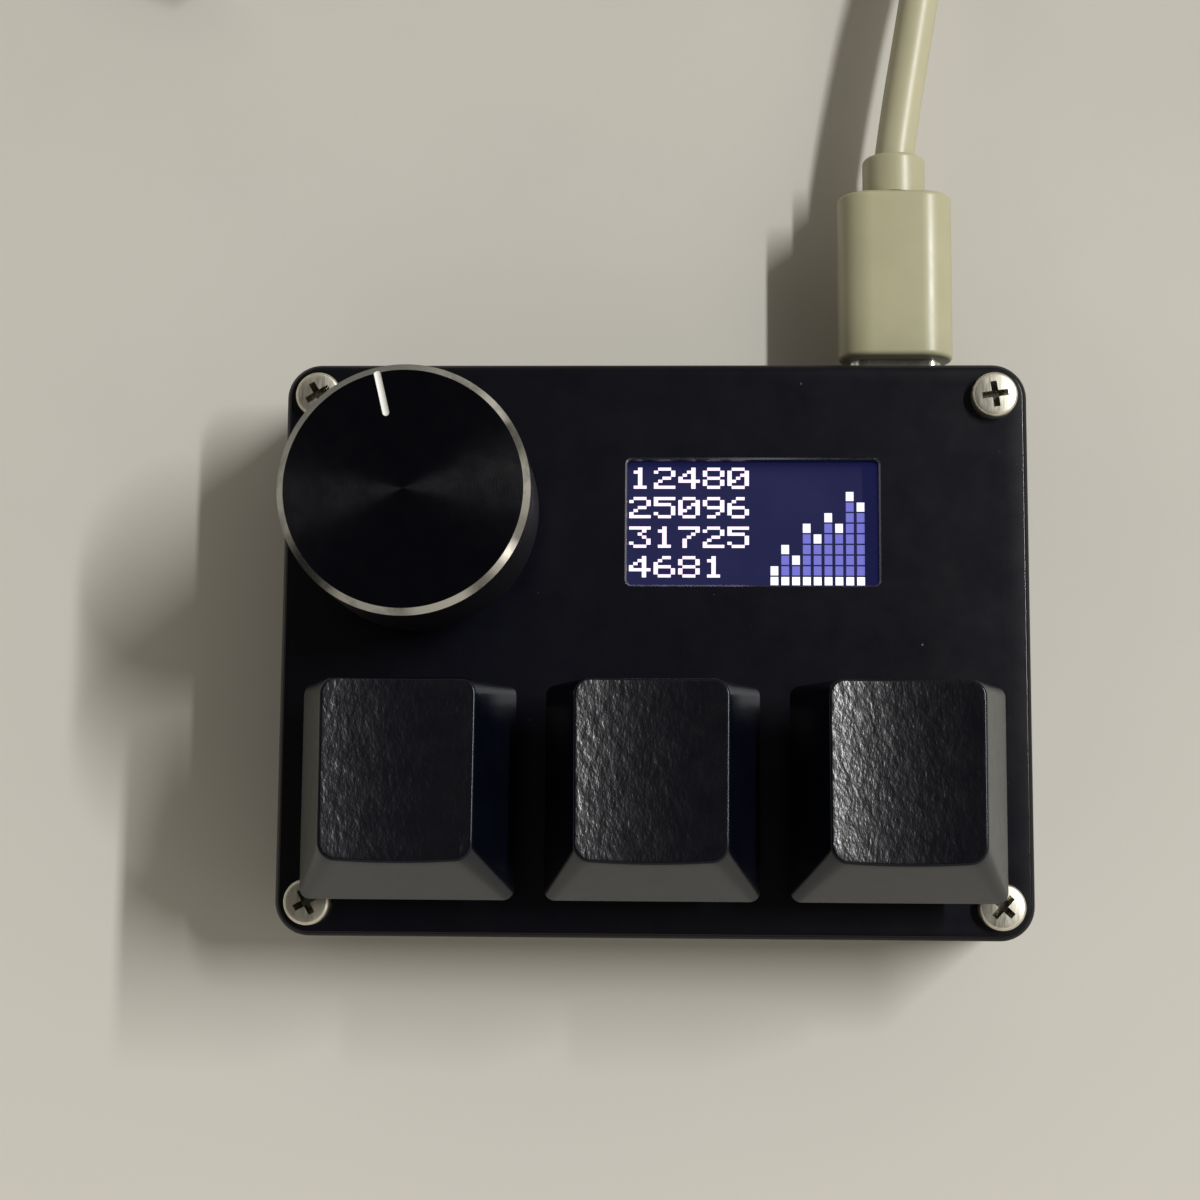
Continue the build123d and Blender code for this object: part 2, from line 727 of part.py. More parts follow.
def build_switch_stem(name, x):
    """Slider with its shoulders, the cross for the cap and the pole that carries the magnet."""
    with BuildPart() as stem:
        with BuildSketch(Plane.XY.offset(slider_shoulder_z)):
            with Locations((x, key_row_y)):
                Rectangle(slider_shoulder_width, slider_depth)
        extrude(amount=slider_shoulder_height)
        with BuildSketch(Plane.XY.offset(slider_shoulder_top_z)):
            with Locations((x, key_row_y)):
                Rectangle(slider_width, slider_depth)
        extrude(amount=cover_top_z - slider_shoulder_top_z)
        with BuildSketch(Plane.XY.offset(cover_top_z)):
            with Locations((x, key_row_y)):
                Rectangle(cross_length, cross_arm_x)
                Rectangle(cross_arm_y, cross_length)
        extrude(amount=switch_stem_above_cover)
        with BuildSketch(Plane.XY.offset(slider_shoulder_z)):
            with Locations((x, key_row_y)):
                Circle(pole_diameter / 2)
        extrude(amount=pole_bottom_z - slider_shoulder_z)
        with BuildSketch(Plane.XY.offset(pole_bottom_z)):
            with Locations((x, key_row_y)):
                Circle(magnet_diameter / 2 + magnet_fit)
        extrude(amount=magnet_length, mode=Mode.SUBTRACT)
    save(stem.part, f"switch_stem_{name}")


def build_switch_magnet(name, x):
    """Magnet pressed into the foot of the stem."""
    with BuildPart() as magnet:
        with BuildSketch(Plane.XY.offset(pole_bottom_z)):
            with Locations((x, key_row_y)):
                Circle(magnet_diameter / 2)
        extrude(amount=magnet_length)
    save(magnet.part, f"switch_magnet_{name}")


def build_switch_spring(name, x):
    """Return spring between the housing floor and the slider's shoulders."""
    seat_radius = spring_seat_inner_radius + spring_seat_wall + spring_seat_fit
    mean_radius = seat_radius + spring_wire / 2
    spring_height = slider_shoulder_z - switch_floor_z - spring_wire
    with BuildPart() as spring:
        with BuildLine() as coil:
            Helix(
                pitch=spring_height / spring_turns,
                height=spring_height,
                radius=mean_radius,
                center=(x, key_row_y, switch_floor_z + spring_wire / 2),
            )
        with BuildSketch(Plane(origin=coil.line @ 0, z_dir=coil.line % 0)):
            Rectangle(spring_wire, spring_wire)
        sweep()
    save(spring.part, f"switch_spring_{name}")


def build_keycap(name, x):
    """Sculpted cap: tapered walls leaning back, a dished top, and a post with a cross socket."""
    cap_plane = Plane((x, key_row_y, cap_skirt_z))
    loft_height = max(cap_front_height, cap_back_height)
    ceiling = cap_back_height - cap_dish_depth - cap_roof
    dish_radius = ((cap_top_width / 2) ** 2 + cap_dish_depth**2) / (2 * cap_dish_depth)
    dish_tilt = math.degrees(math.atan((cap_front_height - cap_back_height) / cap_top_depth))
    middle_edge_height = (cap_front_height + cap_back_height) / 2
    dish_axis_height = middle_edge_height - cap_dish_depth + dish_radius
    ceiling_share = ceiling / loft_height
    ceiling_width = cap_base + (cap_top_width - cap_base) * ceiling_share - 2 * cap_wall
    ceiling_depth = cap_base + (cap_top_depth - cap_base) * ceiling_share - 2 * cap_wall
    post_bottom = cover_top_z - cap_skirt_z
    socket_top = post_bottom + switch_stem_above_cover + cross_end_gap
    with BuildPart() as cap:
        with BuildSketch(cap_plane):
            RectangleRounded(cap_base, cap_base, cap_base_radius)
        with BuildSketch(cap_plane.offset(loft_height)):
            with Locations((0, cap_top_shift)):
                RectangleRounded(cap_top_width, cap_top_depth, cap_top_radius)
        loft(ruled=True)
        # A cylinder along Y, tipped down towards the back, cuts the finger dish.
        dish_plane = Plane(
            origin=(x, key_row_y + cap_top_shift, cap_skirt_z + dish_axis_height),
            x_dir=(1, 0, 0),
            z_dir=(0, -1, 0),
        ).rotated((dish_tilt, 0, 0))
        with BuildSketch(dish_plane):
            Circle(dish_radius)
        extrude(amount=cap_top_depth, both=True, mode=Mode.SUBTRACT)
        top_face = cap.faces().filter_by(GeomType.CYLINDER).sort_by(SortBy.AREA)[-1]
        fillet(top_face.edges(), cap_edge_rounding)
        with BuildSketch(cap_plane):
            Rectangle(cap_base - 2 * cap_wall, cap_base - 2 * cap_wall)
        with BuildSketch(cap_plane.offset(ceiling)):
            with Locations((0, cap_top_shift * ceiling_share)):
                Rectangle(ceiling_width, ceiling_depth)
        loft(ruled=True, mode=Mode.SUBTRACT)
        with BuildSketch(cap_plane.offset(post_bottom)):
            Circle(post_diameter / 2)
        extrude(amount=ceiling - post_bottom)
        with BuildSketch(cap_plane.offset(post_bottom)):
            Rectangle(cross_length + 2 * cross_clearance, cross_arm_x + 2 * cross_clearance)
            Rectangle(cross_arm_y + 2 * cross_clearance, cross_length + 2 * cross_clearance)
        extrude(amount=socket_top - post_bottom, mode=Mode.SUBTRACT)
    save(cap.part, f"keycap_{name}")


for key_name, key_x in zip(key_names, key_positions):
    build_switch_base(key_name, key_x)
    build_switch_cover(key_name, key_x)
    build_switch_stem(key_name, key_x)
    build_switch_magnet(key_name, key_x)
    build_switch_spring(key_name, key_x)
    build_keycap(key_name, key_x)

# ================================================================ encoder
knob_plane = Plane((knob_x, back_row_y, 0))

with BuildPart() as encoder_base:
    with BuildSketch(knob_plane.offset(board_top_z)):
        Rectangle(encoder_base_length, encoder_base_width)
    extrude(amount=encoder_frame_z - board_top_z)
    with BuildSketch(knob_plane.offset(rotor_bottom_z - rotor_fit)):
        Circle(rotor_radius + rotor_fit)
    extrude(amount=encoder_frame_z - rotor_bottom_z + rotor_fit, mode=Mode.SUBTRACT)
    with BuildSketch(knob_plane.offset(encoder_floor_z)):
        Circle(dome_radius + rotor_fit)
    extrude(amount=rotor_shelf_height, mode=Mode.SUBTRACT)
save(encoder_base.part, "encoder_base")

with BuildPart() as encoder_frame:
    with BuildSketch(knob_plane.offset(encoder_frame_z)):
        Rectangle(encoder_frame_length, encoder_frame_width)
    extrude(amount=encoder_frame_thickness)
    chamfer(encoder_frame.faces().sort_by(Axis.Z)[-1].edges(), encoder_frame_bevel)
    with BuildSketch(knob_plane.offset(encoder_top_z)):
        Circle(bushing_radius)
    extrude(amount=bushing_length)
    chamfer(encoder_frame.faces().sort_by(Axis.Z)[-1].edges(), encoder_frame_bevel)
    with BuildSketch(knob_plane.offset(encoder_frame_z)):
        Circle(shaft_radius + shaft_fit)
    extrude(amount=bushing_top_z - encoder_frame_z, mode=Mode.SUBTRACT)
    # Side straps that are bent under the board.
    with BuildSketch(knob_plane.offset(encoder_frame_z)):
        with GridLocations(2 * strap_x, 0, 2, 1):
            Rectangle(strap_thickness, strap_width)
    extrude(amount=board_bottom_z - strap_below_board - encoder_frame_z)
save(encoder_frame.part, "encoder_frame")

with BuildPart() as encoder_terminals:
    for pin_x, pin_y in signal_pins + button_pins:
        side = 1 if pin_y > back_row_y else -1
        pin_exit_z = board_top_z + pin_exit_height
        with BuildSketch(Plane.YZ.offset(pin_x - pin_width / 2)):
            with BuildLine():
                FilletPolyline(
                    (back_row_y + side * encoder_base_width / 2, pin_exit_z),
                    (pin_y, pin_exit_z),
                    (pin_y, board_bottom_z - pin_below_board),
                    radius=pin_thickness,
                )
            trace(line_width=pin_thickness)
        extrude(amount=pin_width)
save(encoder_terminals.part, "encoder_terminals")

with BuildPart() as detent_spring:
    with BuildSketch(knob_plane.offset(encoder_frame_z)):
        Circle(detent_outer_radius)
        Circle(detent_inner_radius, mode=Mode.SUBTRACT)
    extrude(amount=-detent_thickness)
    bump_height = encoder_frame_z - detent_thickness - rotor_top_z - rotor_fit
    with BuildSketch(knob_plane.offset(encoder_frame_z - detent_thickness)):
        with GridLocations(detent_inner_radius + detent_outer_radius, 0, 2, 1):
            Circle(detent_bump_radius)
    extrude(amount=-bump_height)
save(detent_spring.part, "detent_spring")

with BuildPart() as encoder_rotor:
    with BuildSketch(knob_plane.offset(rotor_bottom_z)):
        Circle(rotor_radius)
    extrude(amount=rotor_top_z - rotor_bottom_z)
    with BuildSketch(knob_plane.offset(rotor_bottom_z)):
        Circle(neck_radius + shaft_fit)
        Rectangle(
            2 * (neck_flat + shaft_fit), 2 * (neck_radius + shaft_fit), mode=Mode.INTERSECT
        )
    extrude(amount=rotor_top_z - rotor_bottom_z, mode=Mode.SUBTRACT)
save(encoder_rotor.part, "encoder_rotor")

dome_rim = knob_x + dome_radius
dome_middle = knob_x + dome_radius / 2
dome_vent = knob_x + dome_vent_radius
dome_crown_z = encoder_floor_z + dome_height
dome_middle_z = encoder_floor_z + 0.75 * dome_height

with BuildPart() as encoder_dome:
    with BuildSketch(Plane.XZ.offset(-back_row_y)):
        with BuildLine():
            ThreePointArc(
                (dome_rim, encoder_floor_z), (dome_middle, dome_middle_z), (dome_vent, dome_crown_z)
            )
            Line((dome_vent, dome_crown_z), (dome_vent, dome_crown_z - dome_thickness))
            ThreePointArc(
                (dome_vent, dome_crown_z - dome_thickness),
                (dome_middle, dome_middle_z - dome_thickness),
                (dome_rim - 2 * dome_thickness, encoder_floor_z),
            )
            Line((dome_rim - 2 * dome_thickness, encoder_floor_z), (dome_rim, encoder_floor_z))
        make_face()
    revolve(axis=Axis((knob_x, back_row_y, 0), (0, 0, 1)))
save(encoder_dome.part, "encoder_dome")

pointer_plane = knob_plane.rotated((0, 0, pointer_angle))

with BuildPart() as encoder_shaft:
    with BuildSketch(knob_plane.offset(neck_bottom_z)):
        Circle(neck_radius)
        Rectangle(2 * neck_flat, 2 * neck_radius, mode=Mode.INTERSECT)
    extrude(amount=shaft_shoulder_z - neck_bottom_z)
    with BuildSketch(knob_plane.offset(shaft_shoulder_z)):
        Circle(shaft_radius)
    extrude(amount=shaft_top_z - shaft_shoulder_z)
    chamfer(encoder_shaft.faces().sort_by(Axis.Z)[-1].edges(), shaft_bevel)
    # Flat that the grub screw bears on, facing the pointer.
    with BuildSketch(pointer_plane.offset(shaft_top_z)):
        with Locations((shaft_radius, 0)):
            Rectangle(2 * shaft_flat_depth, 2 * shaft_radius)
    extrude(amount=-shaft_flat_length, mode=Mode.SUBTRACT)
save(encoder_shaft.part, "encoder_shaft")

grub_tip = shaft_radius - shaft_flat_depth
grub_plane = Plane(
    origin=pointer_plane.from_local_coords((grub_tip, 0, grub_z)),
    x_dir=(0, 0, 1),
    z_dir=pointer_plane.x_dir,
)
pointer_cutter_radius = ((pointer_width / 2) ** 2 + pointer_depth**2) / (2 * pointer_depth)
pointer_end = knob_radius - knob_ring_width - pointer_length + pointer_width / 2
pointer_axis_z = knob_top_z - pointer_depth + pointer_cutter_radius
pointer_end_plane = Plane(
    origin=pointer_plane.from_local_coords((pointer_end, 0, pointer_axis_z)),
    x_dir=(0, 0, 1),
    z_dir=pointer_plane.x_dir,
)

with BuildPart() as knob:
    with BuildSketch(knob_plane.offset(knob_bottom_z)):
        Circle(knob_radius)
    extrude(amount=knob_top_z - knob_bottom_z)
    top_face = knob.faces().sort_by(Axis.Z)[-1]
    chamfer(top_face.edges(), knob_ring_width, knob_ring_drop, reference=top_face)
    chamfer(knob.faces().sort_by(Axis.Z)[0].edges(), knob_bottom_bevel)
    with BuildSketch(knob_plane.offset(knob_bottom_z)):
        Circle(knob_recess_radius)
    extrude(amount=knob_recess_depth, mode=Mode.SUBTRACT)
    with BuildSketch(knob_plane.offset(knob_bottom_z)):
        Circle(bushing_radius + knob_bushing_gap)
    extrude(amount=knob_bore_bottom_z - knob_bottom_z, mode=Mode.SUBTRACT)
    with BuildSketch(knob_plane.offset(knob_bore_bottom_z)):
        Circle(shaft_radius + shaft_fit)
    extrude(amount=knob_bore_top_z - knob_bore_bottom_z, mode=Mode.SUBTRACT)
    # Indicator groove of a ball-nosed cutter, from the ring inwards to a round end.
    with BuildSketch(pointer_end_plane):
        Circle(pointer_cutter_radius)
    extrude(amount=pointer_length - pointer_width / 2, mode=Mode.SUBTRACT)
    with Locations(pointer_end_plane):
        Sphere(pointer_cutter_radius, mode=Mode.SUBTRACT)
    with BuildSketch(grub_plane):
        Circle(grub_diameter / 2 + grub_fit)
    extrude(amount=knob_radius, mode=Mode.SUBTRACT)
save(knob.part, "knob")

with BuildPart() as grub_screw:
    with BuildSketch(grub_plane):
        Circle(grub_diameter / 2)
    extrude(amount=grub_length)
    with BuildSketch(grub_plane.offset(grub_length)):
        RegularPolygon(grub_socket / 2, 6)
    extrude(amount=-grub_socket_depth, mode=Mode.SUBTRACT)
save(grub_screw.part, "grub_screw")


# ================================================================ plugs and lead
def arc_radii(points):
    """Radius of the tangent arc at each inner point, as large as the two runs beside it allow."""
    arc_share = 0.45
    corners = [Vector(*point) for point in points]
    radii = []
    for before, corner, after in zip(corners, corners[1:], corners[2:]):
        turn = math.radians((corner - before).get_angle(after - corner))
        shorter = min((corner - before).length, (after - corner).length)
        radii.append(arc_share * shorter / math.tan(turn / 2))
    return radii


def build_cord(name, points):
    """Plain tube of the lead's diameter along a route."""
    with BuildPart() as cord:
        with BuildLine() as path:
            FilletPolyline(*points, radius=arc_radii(points))
        with BuildSketch(Plane(origin=path.line @ 0, z_dir=path.line % 0)):
            Circle(cable_diameter / 2)
        sweep()
    length = path.wires()[0].length
    print(name, "length", round(length, 1), "tightest arc", round(min(arc_radii(points)), 1))
    save(cord.part, name)


plug_plane = Plane.XZ.offset(-plug_front_y).shift_origin((usb_x, plug_front_y, usb_z))
collar_plane = Plane.XZ.offset(-plug_back_y).shift_origin((usb_x, plug_back_y, usb_z))

with BuildPart() as plug_shell:
    with BuildSketch(plug_plane):
        SlotOverall(plug_shell_width, plug_shell_height)
        SlotOverall(
            plug_shell_width - 2 * plug_shell_wall,
            plug_shell_height - 2 * plug_shell_wall,
            mode=Mode.SUBTRACT,
        )
    extrude(amount=plug_shell_length)
save(plug_shell.part, "plug_shell")

with BuildPart() as plug_body:
    with BuildSketch(plug_plane):
        RectangleRounded(plug_body_width, plug_body_height, plug_body_radius)
    extrude(amount=-plug_body_length)
    fillet(plug_body.faces().sort_by(Axis.Y)[-1].edges(), plug_back_rounding)
    fillet(plug_body.faces().sort_by(Axis.Y)[0].edges(), plug_front_rounding)
save(plug_body.part, "plug_body")

with BuildPart() as plug_collar:
    with BuildSketch(collar_plane):
        Circle(collar_diameter / 2)
    extrude(amount=-collar_length)
    fillet(plug_collar.faces().sort_by(Axis.Y)[-1].edges(), collar_rounding)
save(plug_collar.part, "plug_collar")

# The lead leaves the collar level, sinks to the table and joins the coil's outer turn.
lead_points = (
    (21.83, 45.6, 6.7),
    (22.5, 50.5, 6.7),
    (23.7, 57.5, 6.6),
    (25.1, 66.0, 6.1),
    (27.0, 75.0, 4.6),
    (29.0, 84.0, 2.6),
    (30.0, 91.5, 1.8),
    (30.0, 98.5, 1.8),
)
build_cord("cable_lead", lead_points)

coil_half_width = coil_turns_per_layer * cable_diameter / 2 + cable_diameter / 2
coil_height = coil_layers * cable_diameter

with BuildPart() as cable_coil:
    with BuildSketch(Plane.XZ.offset(-coil_centre_y)):
        with Locations((coil_centre_x + coil_mean_radius, coil_height / 2)):
            Rectangle(2 * coil_half_width, coil_height)
        chamfer(vertices(), coil_bevel)
    revolve(axis=Axis((coil_centre_x, coil_centre_y, 0), (0, 0, 1)))
save(cable_coil.part, "cable_coil")

# The far end leaves the coil's upper layer and runs level into the larger plug.
tail_points = (
    (3.5, 125.0, 5.4),
    (-9.0, 125.0, 5.2),
    (-22.5, 120.0, 4.5),
    (-31.5, 110.0, 4.0),
    (-34.6, 102.2, 4.0),
)
build_cord("cable_tail", tail_points)

tail_end = Vector(*tail_points[-1])
tail_before = Vector(*tail_points[-2])
tail_direction = Vector(tail_end.X - tail_before.X, tail_end.Y - tail_before.Y, 0).normalized()
usb_a_start = tail_end - tail_direction * cable_grip
usb_a_plane = Plane(
    origin=usb_a_start, x_dir=tail_direction.cross(Vector(0, 0, 1)), z_dir=tail_direction
)

with BuildPart() as usb_a_collar:
    with BuildSketch(usb_a_plane):
        Circle(collar_diameter / 2)
    extrude(amount=collar_length)
save(usb_a_collar.part, "usb_a_collar")

with BuildPart() as usb_a_body:
    with BuildSketch(usb_a_plane.offset(collar_length)):
        RectangleRounded(usb_a_body_width, usb_a_body_height, usb_a_body_radius)
    extrude(amount=usb_a_body_length)
    usb_a_ends = usb_a_body.faces().sort_by(Axis(usb_a_start, tail_direction))
    chamfer(usb_a_ends[0].edges() + usb_a_ends[-1].edges(), usb_a_body_bevel)
save(usb_a_body.part, "usb_a_body")

with BuildPart() as usb_a_shell:
    with BuildSketch(usb_a_plane.offset(collar_length + usb_a_body_length)):
        RectangleRounded(usb_a_shell_width, usb_a_shell_height, usb_a_shell_radius)
        Rectangle(
            usb_a_shell_width - 2 * usb_a_shell_wall,
            usb_a_shell_height - 2 * usb_a_shell_wall,
            mode=Mode.SUBTRACT,
        )
    extrude(amount=usb_a_shell_length)
save(usb_a_shell.part, "usb_a_shell")

with BuildPart() as usb_a_tongue:
    with BuildSketch(usb_a_plane.offset(collar_length + usb_a_body_length)):
        with Locations((0, (usb_a_shell_height - usb_a_tongue_thickness) / 2 - usb_a_shell_wall)):
            Rectangle(usb_a_shell_width - 2 * usb_a_shell_wall, usb_a_tongue_thickness)
    extrude(amount=usb_a_shell_length - usb_a_tongue_recess)
save(usb_a_tongue.part, "usb_a_tongue")
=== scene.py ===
import json
import math

import bmesh
import bpy
from mathutils import Euler, Matrix, Vector


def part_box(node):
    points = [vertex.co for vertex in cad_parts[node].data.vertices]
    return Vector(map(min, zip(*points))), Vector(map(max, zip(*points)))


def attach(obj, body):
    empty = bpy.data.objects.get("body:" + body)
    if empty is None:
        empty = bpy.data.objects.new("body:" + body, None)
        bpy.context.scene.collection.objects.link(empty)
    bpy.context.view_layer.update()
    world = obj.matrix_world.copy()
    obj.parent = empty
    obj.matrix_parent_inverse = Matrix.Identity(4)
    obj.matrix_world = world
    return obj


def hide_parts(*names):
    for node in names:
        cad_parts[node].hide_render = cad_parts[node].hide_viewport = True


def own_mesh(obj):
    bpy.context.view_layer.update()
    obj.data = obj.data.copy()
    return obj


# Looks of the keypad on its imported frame. Metres, in the row's frame: the table is z = 0,
# +X runs along the keys and +Y towards the lead.

MM = 0.001
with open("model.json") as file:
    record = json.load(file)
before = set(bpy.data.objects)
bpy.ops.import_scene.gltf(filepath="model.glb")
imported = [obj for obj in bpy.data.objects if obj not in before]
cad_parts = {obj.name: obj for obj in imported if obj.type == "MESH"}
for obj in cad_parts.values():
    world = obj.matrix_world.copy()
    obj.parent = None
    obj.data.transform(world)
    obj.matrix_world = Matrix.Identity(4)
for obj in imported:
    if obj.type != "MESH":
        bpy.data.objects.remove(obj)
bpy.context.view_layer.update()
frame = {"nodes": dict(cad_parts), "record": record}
KEYS = ("left", "middle", "right")
CREASE = 35.0  # degrees: an edge that folds by more stays sharp
SOFT_CREASE = 50.0
AXIS_GAP = 0.02 * MM  # radius at which a turned body closes on its axis


# ==================== camera
CAMERA_PLACE = (2.140 * MM, -20.111 * MM, 203.3 * MM)
CAMERA_TURN = (7.2539, 2.0670, 0.4344)  # degrees about X, Y and Z
FOCAL_LENGTH = 65.80
SENSOR_WIDTH = 36.0

camera_data = bpy.data.cameras.new("camera")
camera_data.sensor_fit = "HORIZONTAL"
camera_data.sensor_width = SENSOR_WIDTH
camera_data.lens = FOCAL_LENGTH
camera_data.clip_start = 0.01
camera = bpy.data.objects.new("camera", camera_data)
turn = Euler([math.radians(angle) for angle in CAMERA_TURN], "ZXY")
camera.matrix_world = Matrix.Translation(CAMERA_PLACE) @ turn.to_matrix().to_4x4()
bpy.context.collection.objects.link(camera)
bpy.context.scene.camera = camera


# ==================== materials
# Sockets of a Mix node in colour mode, by number because other modes repeat their names.
MIX_FACTOR, MIX_A, MIX_B, MIX_RESULT = 0, 6, 7, 2


def calculate(tree, operation, *values, kind="ShaderNodeMath"):
    """Result of a Math node, or of a Vector Math node that gives a number."""
    node = tree.nodes.new(kind)
    node.operation = operation
    for socket, value in zip(node.inputs, values):
        if isinstance(value, bpy.types.NodeSocket):
            tree.links.new(value, socket)
        else:
            socket.default_value = value
    return node.outputs["Value"]


def map_range(tree, value, low, high, start, end, course="LINEAR"):
    """`value` between low and high, mapped to start and end."""
    node = tree.nodes.new("ShaderNodeMapRange")
    node.interpolation_type = course
    ends = {"From Min": low, "From Max": high, "To Min": start, "To Max": end}
    for socket, number in ends.items():
        node.inputs[socket].default_value = number
    tree.links.new(value, node.inputs["Value"])
    return node.outputs["Result"]


class Finish:
    """A Principled material that is built up from procedural detail in object coordinates."""

    def __init__(self, name, color, roughness, metallic=0.0, **sockets):
        self.material = bpy.data.materials.new(name)
        self.material.use_nodes = True
        self.tree = self.material.node_tree
        self.nodes, self.links = self.tree.nodes, self.tree.links
        self.shader = self.nodes["Principled BSDF"]
        self.color = (*color, 1.0)
        self.shader.inputs["Base Color"].default_value = self.color
        self.shader.inputs["Roughness"].default_value = roughness
        self.shader.inputs["Metallic"].default_value = metallic
        for socket, value in sockets.items():
            self.shader.inputs[socket.replace("_", " ")].default_value = value
        self.place = self.nodes.new("ShaderNodeTexCoord").outputs["Object"]
        self.normal = None

    def stretched(self, scale, rotation=(0.0, 0.0, 0.0), location=(0.0, 0.0, 0.0)):
        """Object coordinates scaled, turned and moved, for grain that runs one way."""
        mapping = self.nodes.new("ShaderNodeMapping")
        mapping.inputs["Scale"].default_value = scale
        mapping.inputs["Rotation"].default_value = rotation
        mapping.inputs["Location"].default_value = location
        self.links.new(self.place, mapping.inputs["Vector"])
        return mapping.outputs["Vector"]

    def noise(self, size, detail, place=None):
        """Noise whose patches are about `size` metres across."""
        noise = self.nodes.new("ShaderNodeTexNoise")
        noise.inputs["Scale"].default_value = 1.0 / size
        noise.inputs["Detail"].default_value = detail
        noise.inputs["Roughness"].default_value = 0.6
        self.links.new(place or self.place, noise.inputs["Vector"])
        return noise.outputs["Fac"]

    def ramp(self, value, low, high, start=0.0, end=1.0):
        """`value` between low and high, mapped to start and end."""
        return map_range(self.tree, value, low, high, start, end)

    def tint(self, mask, color):
        """Mixes the base colour towards `color` where the mask is high."""
        mix = self.nodes.new("ShaderNodeMix")
        mix.data_type = "RGBA"
        mix.inputs[MIX_A].default_value = self.color
        mix.inputs[MIX_B].default_value = (*color, 1.0)
        base = self.shader.inputs["Base Color"]
        if base.is_linked:
            self.links.new(base.links[0].from_socket, mix.inputs[MIX_A])
        self.links.new(mask, mix.inputs[MIX_FACTOR])
        self.links.new(mix.outputs[MIX_RESULT], base)

    def mottle(self, size, detail, low, high, color):
        """Tints patches: not at all where the noise is `low`, and fully where it is `high`."""
        self.tint(self.ramp(self.noise(size, detail), low, high), color)

    def rough(self, size, detail, low, high, place=None):
        """Roughness that wanders from low to high."""
        noise = self.noise(size, detail, place)
        self.links.new(self.ramp(noise, 0.25, 0.75, low, high), self.shader.inputs["Roughness"])

    def bump(self, height, depth, strength):
        """Adds a layer of relief `depth` metres deep."""
        bump = self.nodes.new("ShaderNodeBump")
        bump.inputs["Strength"].default_value = strength
        bump.inputs["Distance"].default_value = depth
        self.links.new(height, bump.inputs["Height"])
        if self.normal:
            self.links.new(self.normal, bump.inputs["Normal"])
        self.normal = bump.outputs["Normal"]
        self.links.new(self.normal, self.shader.inputs["Normal"])

    def glow(self, color, strength):
        """Light that the surface gives off."""
        self.shader.inputs["Emission Color"].default_value = (*color, 1.0)
        self.shader.inputs["Emission Strength"].default_value = strength


def anodised(name):
    """Black anodised aluminium, blasted: a fine even grain, cloudy gloss and a few dust specks."""
    finish = Finish(name, (0.0010, 0.0013, 0.0044), 0.28, Specular_IOR_Level=0.45)
    finish.mottle(9 * MM, 4.0, 0.42, 0.68, (0.0017, 0.0020, 0.0058))
    finish.rough(3 * MM, 5.0, 0.26, 0.31)
    finish.bump(finish.noise(0.16 * MM, 2.0), 0.012 * MM, 0.35)
    finish.mottle(0.55 * MM, 1.0, 0.80, 0.84, (0.10, 0.10, 0.11))
    return finish.material


def keycap_side():
    """Smooth moulded side of a key cap."""
    finish = Finish("keycap_side", (0.0012, 0.0017, 0.0044), 0.24, Specular_IOR_Level=0.29)
    finish.shader.inputs["Specular Tint"].default_value = (0.82, 0.90, 1.0, 1.0)
    finish.mottle(4 * MM, 3.0, 0.4, 0.7, (0.0020, 0.0026, 0.0056))
    finish.rough(1.5 * MM, 4.0, 0.21, 0.27)
    finish.bump(finish.noise(0.22 * MM, 3.0), 0.012 * MM, 0.4)
    return finish.material


def keycap_top():
    """Top of a key cap: short ridges that cross at a slant, over a coarser pebble grain."""
    finish = Finish("keycap_top", (0.0003, 0.0006, 0.0036), 0.27, Specular_IOR_Level=0.74)
    ridges = finish.noise(0.42 * MM, 2.5, finish.stretched((1.0, 0.45, 1.0), (0, 0, 0.45)))
    pebbles = finish.noise(0.95 * MM, 3.0, finish.stretched((1.0, 0.7, 1.0), (0, 0, -0.5)))
    finish.rough(1.8 * MM, 4.0, 0.27, 0.33)
    finish.bump(pebbles, 0.16 * MM, 0.5)
    finish.bump(ridges, 0.085 * MM, 0.5)
    return finish.material


def turned(name, color, roughness, metallic, centre, pitch, depth, anisotropy, **sockets):
    """Metal cut on a lathe: fine rings round `centre`, with gloss stretched along them."""
    finish = Finish(name, color, roughness, metallic, Anisotropic=anisotropy, **sockets)
    place = finish.stretched((1.0, 1.0, 0.0), location=(-centre[0], -centre[1], 0.0))
    radius = calculate(finish.tree, "LENGTH", place, kind="ShaderNodeVectorMath")
    phase = calculate(finish.tree, "MULTIPLY", radius, 2 * math.pi / pitch)
    finish.bump(calculate(finish.tree, "SINE", phase), depth, 0.4)
    finish.rough(2 * MM, 4.0, roughness * 0.85, roughness * 1.15)
    return finish


def brushed(name, color, roughness, grain=0.15 * MM, stretch=(1.0, 0.08, 1.0)):
    """Drawn or plated metal with a fine one-way grain and slight tarnish."""
    finish = Finish(name, color, roughness, 1.0)
    finish.mottle(1.4 * MM, 5.0, 0.45, 0.8, [0.72 * c for c in color])
    drawn = finish.stretched(stretch)
    finish.rough(grain, 3.0, roughness * 0.8, roughness * 1.3, drawn)
    finish.bump(finish.noise(grain, 2.0, drawn), 0.004 * MM, 0.4)
    return finish.material


def moulded(name, color, roughness, grain=0.3 * MM, depth=0.006 * MM, shade=0.75):
    """Moulded plastic or rubber: slight mottling, uneven gloss and a fine surface grain."""
    finish = Finish(name, color, roughness)
    finish.mottle(5 * MM, 4.0, 0.4, 0.75, [shade * c for c in color])
    finish.rough(2 * MM, 4.0, roughness * 0.88, min(1.0, roughness * 1.12))
    finish.bump(finish.noise(grain, 3.0), depth, 0.5)
    return finish.material


def foam(name, color):
    """Closed-cell foam: small open pores."""
    finish = Finish(name, color, 0.9)
    pores = finish.noise(0.35 * MM, 3.0)
    finish.tint(finish.ramp(pores, 0.3, 0.6), [2.0 * c for c in color])
    finish.bump(pores, 0.1 * MM, 0.8)
    return finish.material


